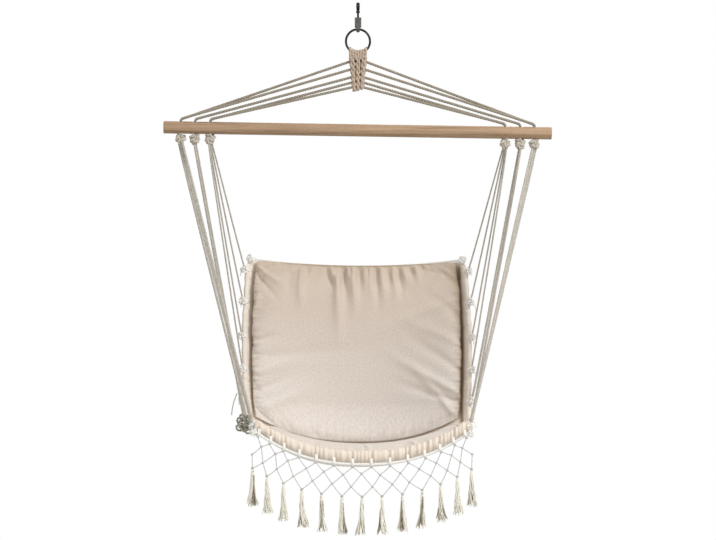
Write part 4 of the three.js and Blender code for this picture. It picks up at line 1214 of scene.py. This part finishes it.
def pad_painted_shade(pad_side, to_side, place):
    """Painted shade on a pad: shadow along its two seams, wider on the right, shade that deepens towards the
    back's top, and a shadow under its top edge.
    """
    wander = to_side + 0.0012 * np.sin(place * 75 + 2 * np.sin(place * 31))
    right = 0.42 * bell(to_side, 0.017) + 0.95 * bell(wander - 0.0025, 0.0054)
    left = 0.34 * bell(to_side, 0.009) + 0.62 * bell(wander - 0.0015, 0.0034)
    seam_shadow = np.where(pad_side > 0, right, left) * smooth(place / 0.02)
    top = 0.35 * np.exp(-place / 0.17) + 0.3 * bell(place - BACK_PAD["start"], 0.004)
    return np.clip(seam_shadow + top, 0, 1)


def build_pad(pad):
    s = sizes()
    piece = placed(pad["name"], pad_grid(pad), finish("pad"))
    mesh = piece.data
    seat_place = vectors(mesh.attributes["seat_place"].data, len(mesh.vertices))
    mesh.vertices.foreach_set("co", swollen(piece, seat_place, s.pad_swell).astype(np.float32).ravel())
    mesh.update()
    finer = piece.modifiers.new("finer", "SUBSURF")
    finer.levels = finer.render_levels = 1
    mesh = shaped_mesh(piece)
    piece.modifiers.clear()
    piece.data = mesh
    x, place, top = vectors(mesh.attributes["seat_place"].data, len(mesh.vertices)).T
    points = vectors(mesh.vertices, len(mesh.vertices))
    normals = vectors(mesh.vertex_normals, len(mesh.vertices))
    to_side = through(pad["half"], place) - np.abs(x)
    to_end = np.minimum(place - pad["start"], pad["end"] - place)
    from_edge = np.maximum(np.minimum(to_side, to_end), 0)
    by_side = to_side < to_end
    run = np.where(by_side, place, x)
    puckers = wavy(run, 0.021, 2.1, 23) + 0.6 * np.sin(run * 2 * math.pi / 0.0125 + run * 40)
    height = fold_height(pad["folds"], x, place) * s.fold_height * smooth(from_edge / SEAM_FADE)
    height += np.where(by_side, 0.0010, 0.0004) * puckers * bell(from_edge - SEAM_FADE, 0.014)
    height *= smooth(top)
    points = points + normals * height[:, None]
    mesh.vertices.foreach_set("co", points.astype(np.float32).ravel())
    mesh.update()
    add_values(piece, "from_edge", from_edge)
    # Painted shade: shadows along the pad's seams and under its top edge, and shade deepening towards the
    # back's top.
    add_values(piece, "painted_shade", pad_painted_shade(x, to_side, place))
    belongs(piece, "seat", "pad_cloth", pad["node"])


# Net and tassels
NET_STRAND, NET_LAY, LACE_LAY = 0.00115, 0.006, 0.008
YARN_RADIUS, YARN_STEPS, SHADED_YARN_EVERY = 0.0011, 18, 5
WRAP_RADIUS, WRAP_TURNS, NECK_LENGTH = 0.0033, 4.0, 0.006


def net_point(row, place, loop_foot=False):
    """A node of the net before it is nudged, or the foot of a loop on the rope."""
    _, points, lengths = rope_measure()
    wanted = rope_place(place) * lengths[-1]
    point = np.array([np.interp(wanted, lengths, points[:, k]) for k in range(3)])
    i = int(np.clip(np.searchsorted(lengths, wanted), 1, len(lengths) - 1))
    along = points[i] - points[i - 1]
    along /= np.linalg.norm(along)
    down = np.array((along[2] * (NET_LEAN if row else 1.0), 0, -along[0]))
    down /= np.linalg.norm(down)
    drop = NET_DROPS[row - 1] if row else (NET_LOOP_RADIUS if loop_foot else 0.0)
    return point + down * drop


def net_node(row, place, chance):
    """A node of the net, nudged as a hand-tied one is; the last row carries the tassels and stays."""
    point = net_point(row, place)
    if row == NET_ROWS:
        return point
    return point + np.array([chance.uniform(-most, most) for most in (0.0035, 0.001, 0.003)])


def hung(start, end, sag, count=12):
    """A cord between two points that sags in its middle."""
    t = np.linspace(0, 1, count)[:, None]
    return np.asarray(start) * (1 - t) + np.asarray(end) * t - np.array((0, 0, sag)) * 4 * t * (1 - t)


def lace(x, foot):
    """A loop from the net up round the front rope and through the band."""
    rope = front_at(x)
    pierce = on_seat(x, SEAT_LENGTH + 0.0010, 0.0105)
    ahead, behind = np.array((0, -0.003, 0.003)), np.array((0, 0.003, 0.003))
    return np.array([
        foot, foot + ahead, rope + (0, -0.0066, 0.001), pierce + (0, -0.0035, 0.001),
        pierce + (0, 0.003, 0.001), rope + (0, 0.0062, -0.001), foot + behind, foot])


def build_net():
    chance = random.Random(5)
    nodes = {0: {place: net_point(0, place, True) for place in row_places(0)}}
    for row in range(1, NET_ROWS + 1):
        nodes[row] = {place: net_node(row, place, chance) for place in row_places(row)}
    cords = []
    for row in range(NET_ROWS):
        for upper, start in nodes[row].items():
            for lower, end in nodes[row + 1].items():
                if abs(abs(lower - upper) - 0.5) < SAME_PLACE:
                    cords += strands(hung(start, end, chance.uniform(0.0002, 0.0012)), NET_STRAND, 2, NET_LAY)
    ties = []
    for row in range(1, NET_ROWS + 1):
        reach = 0.0031 if row == NET_ROWS else 0.0024
        ties += [overhand(point, reach, 3 * place, 1.2, 36) for place, point in nodes[row].items()]
    ties += [overhand(point, 0.0028, 1.0, 1.2, 36) for point in nodes[0].values()]
    swept("net_cords", [(cords, 0.00068, 0), (ties, NET_STRAND, 1)], "net", "seat", "net_cord", "fringe_net")
    laces = []
    for x, foot in zip(net_loop_places(), nodes[0].values()):
        for shift in (-0.0013, 0.0013):
            laces += strands(softened(lace(x, foot) + (shift, 0, 0)), 0.0019, 2, LACE_LAY)
    swept("net_laces", [(laces, 0.0012, 1)], "cord", "seat", "net_cord")


def tassel_paths(top, chance):
    """Wavy yarns in a few twisted clumps that spread to a ragged foot, the wraps of the neck and its head."""
    s = sizes()
    yarns = []
    clumps = chance.choice((4, 5, 5, 6))
    lean = chance.uniform(-0.004, 0.004)
    spin = chance.uniform(0.4, 1.3) * chance.choice((-1, 1))
    flare = chance.uniform(0.85, 1.1)
    t = np.linspace(0, 1, YARN_STEPS)
    clump_reach = 0.0013 + flare * (0.0036 * t + 0.0050 * t ** 3)
    own_reach = 0.0010 + 0.0019 * t + 0.0014 * t ** 6
    for i in range(s.tassel_yarns):
        angle = 2 * math.pi * (i % clumps) / clumps + chance.uniform(-0.15, 0.15) + spin * t
        own = chance.uniform(0, 2 * math.pi)
        length = s.tassel_length * chance.uniform(0.88, 1.0) - NECK_LENGTH
        own_angle = own + 5.0 * t * chance.uniform(0.6, 1)
        wave = chance.uniform(0.0002, 0.0009) * np.sin(t * chance.uniform(8, 15) + own)
        x = clump_reach * np.cos(angle) + own_reach * np.cos(own_angle) + wave + lean * t ** 2
        y = clump_reach * np.sin(angle) * 0.8 + own_reach * np.sin(own_angle) + wave * 0.6
        yarns.append((top + np.stack([x, y, -NECK_LENGTH - length * t], axis=1), 1.0 - 0.1 * t))
    wraps = circle(top + (0, 0, -0.013), (1, 0, 0), (0, 1, 0), WRAP_RADIUS, 60, WRAP_TURNS, (0, 0, 0.0064))
    corners = ((0.0008, 0), (-0.0008, 0), (0, 0.0008), (0, -0.0008))
    head = [hung(top + (dx, dy, -0.0025), top + (dx * 2.2, dy * 2.2, -0.012), 0, 5) for dx, dy in corners]
    return yarns, wraps, head


def build_tassels():
    for i, place in enumerate(row_places(NET_ROWS)):
        yarns, wraps, head = tassel_paths(net_point(NET_ROWS, place), random.Random(100 + i))
        # Painted shade: one yarn in five takes the dark brown yarn finish, standing in for shade between the
        # strands.
        dull = [yarn for k, yarn in enumerate(yarns) if k % SHADED_YARN_EVERY == i % SHADED_YARN_EVERY]
        pale = [yarn for k, yarn in enumerate(yarns) if k % SHADED_YARN_EVERY != i % SHADED_YARN_EVERY]
        body = f"tassel_body_{i + 1}"
        swept(
            f"yarn_tassel_{i + 1}", [(pale, YARN_RADIUS, 0), ([wraps], 0.0009, 1), (head, 0.0015, 1)],
            "yarn", body, "tassel_yarn", f"tassel_{i + 1}")
        swept(f"dull_yarns_{i + 1}", [(dull, YARN_RADIUS, 0)], "shaded_yarn", body, "tassel_yarn")


# Camera, lights and floor
CAMERA_LENS, CAMERA_AWAY, CAMERA_TURN, CAMERA_HEIGHT = 107.3, 5.5, math.radians(-1.6), -0.684
FLOOR_HEIGHT, FLOOR_RADIUS, FLOOR_FADE = -1.66, 1.6, (0.5, 1.5)
SEEN_STRENGTH, LIT_STRENGTH = 1.0, 0.56
AIM = (0, 0, -0.85)


def build_camera():
    data = bpy.data.cameras.new("camera")
    data.lens = CAMERA_LENS
    data.sensor_fit = "HORIZONTAL"
    data.sensor_width = 36
    data.clip_end = 40
    camera = bpy.data.objects.new("camera", data)
    bpy.context.collection.objects.link(camera)
    aside, back = math.sin(CAMERA_TURN), math.cos(CAMERA_TURN)
    camera.location = (CAMERA_AWAY * aside, -CAMERA_AWAY * back, CAMERA_HEIGHT)
    camera.rotation_euler = (math.pi / 2, 0, CAMERA_TURN)
    bpy.context.scene.camera = camera


def area_lamp(name, where, aim, size, power):
    data = bpy.data.lights.new(name, "AREA")
    data.size = size
    data.energy = power
    lamp = bpy.data.objects.new(name, data)
    bpy.context.collection.objects.link(lamp)
    lamp.location = where
    lamp.rotation_euler = (Vector(aim) - Vector(where)).to_track_quat("-Z", "Y").to_euler()


def pale_floor():
    """A plain pale floor that runs out to white for the camera."""
    f = Finish("pale_floor", (0.62, 0.62, 0.62), 0.9)
    below = f.node("ShaderNodeVectorMath", Vector=f.object_space())
    below.operation = "MULTIPLY"
    below.inputs[1].default_value = (1, 1, 0)
    away = f.node("ShaderNodeVectorMath", Vector=below.outputs["Vector"])
    away.operation = "LENGTH"
    near, far = FLOOR_FADE
    span = f.node("ShaderNodeMapRange", Value=away.outputs["Value"], From_Min=near, From_Max=far)
    span.interpolation_type = "SMOOTHSTEP"
    seen = f.nodes.new("ShaderNodeLightPath").outputs["Is Camera Ray"]
    white = f.node("ShaderNodeEmission", Color=(1, 1, 1, 1), Strength=1.0)
    mix = f.node("ShaderNodeMixShader", Fac=f.math("MULTIPLY", span.outputs["Result"], seen))
    f.links.new(f.shader.outputs[0], mix.inputs[1])
    f.links.new(white.outputs[0], mix.inputs[2])
    f.links.new(mix.outputs[0], f.nodes["Material Output"].inputs["Surface"])
    return f.material


def white_surroundings():
    """A world that is white where it is seen and dimmer where it only lights."""
    world = bpy.data.worlds.new("studio")
    world.use_nodes = True
    nodes, links = world.node_tree.nodes, world.node_tree.links
    path = nodes.new("ShaderNodeLightPath")
    seen = path.outputs["Is Camera Ray"]
    for ray in ("Is Transmission Ray", "Is Glossy Ray"):
        either = nodes.new("ShaderNodeMath")
        either.operation = "MAXIMUM"
        links.new(seen, either.inputs[0])
        links.new(path.outputs[ray], either.inputs[1])
        seen = either.outputs[0]
    strength = nodes.new("ShaderNodeMapRange")
    strength.inputs["To Min"].default_value = LIT_STRENGTH
    strength.inputs["To Max"].default_value = SEEN_STRENGTH
    links.new(seen, strength.inputs["Value"])
    background = nodes["Background"]
    background.inputs["Color"].default_value = (1, 1, 1, 1)
    links.new(strength.outputs["Result"], background.inputs["Strength"])
    return world


def build_stage():
    scene = bpy.context.scene
    scene.view_settings.view_transform = "Standard"
    scene.world = white_surroundings()
    made = bmesh.new()
    under = Matrix.Translation((0, 0, FLOOR_HEIGHT))
    bmesh.ops.create_circle(made, cap_ends=True, segments=96, radius=FLOOR_RADIUS, matrix=under)
    placed("studio_floor", made, pale_floor(), False)
    area_lamp("key", (2.6, -2.3, 1.8), AIM, 1.3, 118)
    area_lamp("fill", (-1.8, -3.4, 0.4), AIM, 2.6, 24)
    area_lamp("back_fill", (0.4, 3.0, 0.8), (0, 0, -0.8), 2.4, 34)


# One operator for each piece or group of like pieces
class PieceOperator:
    """What the piece operators share."""
    bl_options = {"REGISTER", "UNDO"}

    def execute(self, context):
        type(self).build()
        return {"FINISHED"}


class HAMMOCK_OT_camera(PieceOperator, bpy.types.Operator):
    """Set the camera at the viewing angle"""
    bl_idname, bl_label, build = "hammock.camera", "Camera", staticmethod(build_camera)


class HAMMOCK_OT_swivel(PieceOperator, bpy.types.Operator):
    """Build the upper eye and the swivel block"""
    bl_idname, bl_label, build = "hammock.swivel", "Swivel", staticmethod(build_swivel)


class HAMMOCK_OT_ring(PieceOperator, bpy.types.Operator):
    """Build the hanging ring"""
    bl_idname, bl_label, build = "hammock.ring", "Ring", staticmethod(build_ring)


class HAMMOCK_OT_braid(PieceOperator, bpy.types.Operator):
    """Build the knotted head"""
    bl_idname, bl_label, build = "hammock.braid", "Head braid", staticmethod(build_braid)


class HAMMOCK_OT_upper_cords(PieceOperator, bpy.types.Operator):
    """Build the cords from the head to the bar"""
    bl_idname, bl_label, build = "hammock.upper_cords", "Upper cords", staticmethod(build_upper_cords)


class HAMMOCK_OT_bar(PieceOperator, bpy.types.Operator):
    """Build the spreader bar"""
    bl_idname, bl_label, build = "hammock.bar", "Spreader bar", staticmethod(build_bar)


class HAMMOCK_OT_knots(PieceOperator, bpy.types.Operator):
    """Tie the knots under the bar"""
    bl_idname, bl_label, build = "hammock.knots", "Stopper knots", staticmethod(build_knots)


class HAMMOCK_OT_side_cords(PieceOperator, bpy.types.Operator):
    """Build the cords from the knots to the seat"""
    bl_idname, bl_label, build = "hammock.side_cords", "Side cords", staticmethod(build_side_cords)


class HAMMOCK_OT_spare_cord(PieceOperator, bpy.types.Operator):
    """Build the bundle of spare cord and its loose end"""
    bl_idname, bl_label, build = "hammock.spare_cord", "Spare cord", staticmethod(build_spare_cord)


class HAMMOCK_OT_hem_rope(PieceOperator, bpy.types.Operator):
    """Build the rope round the canvas"""
    bl_idname, bl_label, build = "hammock.hem_rope", "Hem rope", staticmethod(build_hem_rope)


class HAMMOCK_OT_front_rope(PieceOperator, bpy.types.Operator):
    """Build the rope at the seat's front"""
    bl_idname, bl_label, build = "hammock.front_rope", "Front rope", staticmethod(build_front_rope)


class HAMMOCK_OT_canvas(PieceOperator, bpy.types.Operator):
    """Build the carrier cloth with its gathered front band"""
    bl_idname, bl_label, build = "hammock.canvas", "Canvas", staticmethod(build_canvas)


class HAMMOCK_OT_back_pad(PieceOperator, bpy.types.Operator):
    """Sew and fill the back pad"""
    bl_idname, bl_label, build = "hammock.back_pad", "Back pad", staticmethod(lambda: build_pad(BACK_PAD))


class HAMMOCK_OT_seat_pad(PieceOperator, bpy.types.Operator):
    """Sew and fill the seat pad"""
    bl_idname, bl_label, build = "hammock.seat_pad", "Seat pad", staticmethod(lambda: build_pad(SEAT_PAD))


class HAMMOCK_OT_net(PieceOperator, bpy.types.Operator):
    """Tie the net under the front rope"""
    bl_idname, bl_label, build = "hammock.net", "Fringe net", staticmethod(build_net)


class HAMMOCK_OT_tassels(PieceOperator, bpy.types.Operator):
    """Hang the tassels on the net"""
    bl_idname, bl_label, build = "hammock.tassels", "Tassels", staticmethod(build_tassels)


class HAMMOCK_OT_stage(PieceOperator, bpy.types.Operator):
    """Set the floor, the lamps and the white surroundings"""
    bl_idname, bl_label, build = "hammock.stage", "Stage", staticmethod(build_stage)


PIECES = (
    HAMMOCK_OT_camera, HAMMOCK_OT_swivel, HAMMOCK_OT_ring, HAMMOCK_OT_braid, HAMMOCK_OT_upper_cords,
    HAMMOCK_OT_bar, HAMMOCK_OT_knots, HAMMOCK_OT_side_cords, HAMMOCK_OT_spare_cord, HAMMOCK_OT_hem_rope,
    HAMMOCK_OT_front_rope, HAMMOCK_OT_canvas, HAMMOCK_OT_back_pad, HAMMOCK_OT_seat_pad, HAMMOCK_OT_net,
    HAMMOCK_OT_tassels, HAMMOCK_OT_stage)


class HAMMOCK_PT_pieces(bpy.types.Panel):
    """Lists the chair's settings and pieces"""
    bl_idname, bl_label = "HAMMOCK_PT_pieces", "Hammock chair"
    bl_space_type, bl_region_type, bl_category = "VIEW_3D", "UI", "Hammock"

    def draw(self, context):
        for group in (context.scene.chair_sizes, context.scene.chair_colours):
            for name in type(group).__annotations__:
                self.layout.prop(group, name)
        for piece in PIECES:
            self.layout.operator(piece.bl_idname)


CLASSES = (ChairSizes, ChairColours, *PIECES, HAMMOCK_PT_pieces)


def register():
    for each in CLASSES:
        bpy.utils.register_class(each)
    bpy.types.Scene.chair_sizes = bpy.props.PointerProperty(type=ChairSizes)
    bpy.types.Scene.chair_colours = bpy.props.PointerProperty(type=ChairColours)


def unregister():
    del bpy.types.Scene.chair_colours
    del bpy.types.Scene.chair_sizes
    for each in reversed(CLASSES):
        bpy.utils.unregister_class(each)


def main():
    register()
    for piece in PIECES:
        getattr(bpy.ops.hammock, piece.bl_idname.split(".")[1])()


if __name__ == "__main__":
    main()
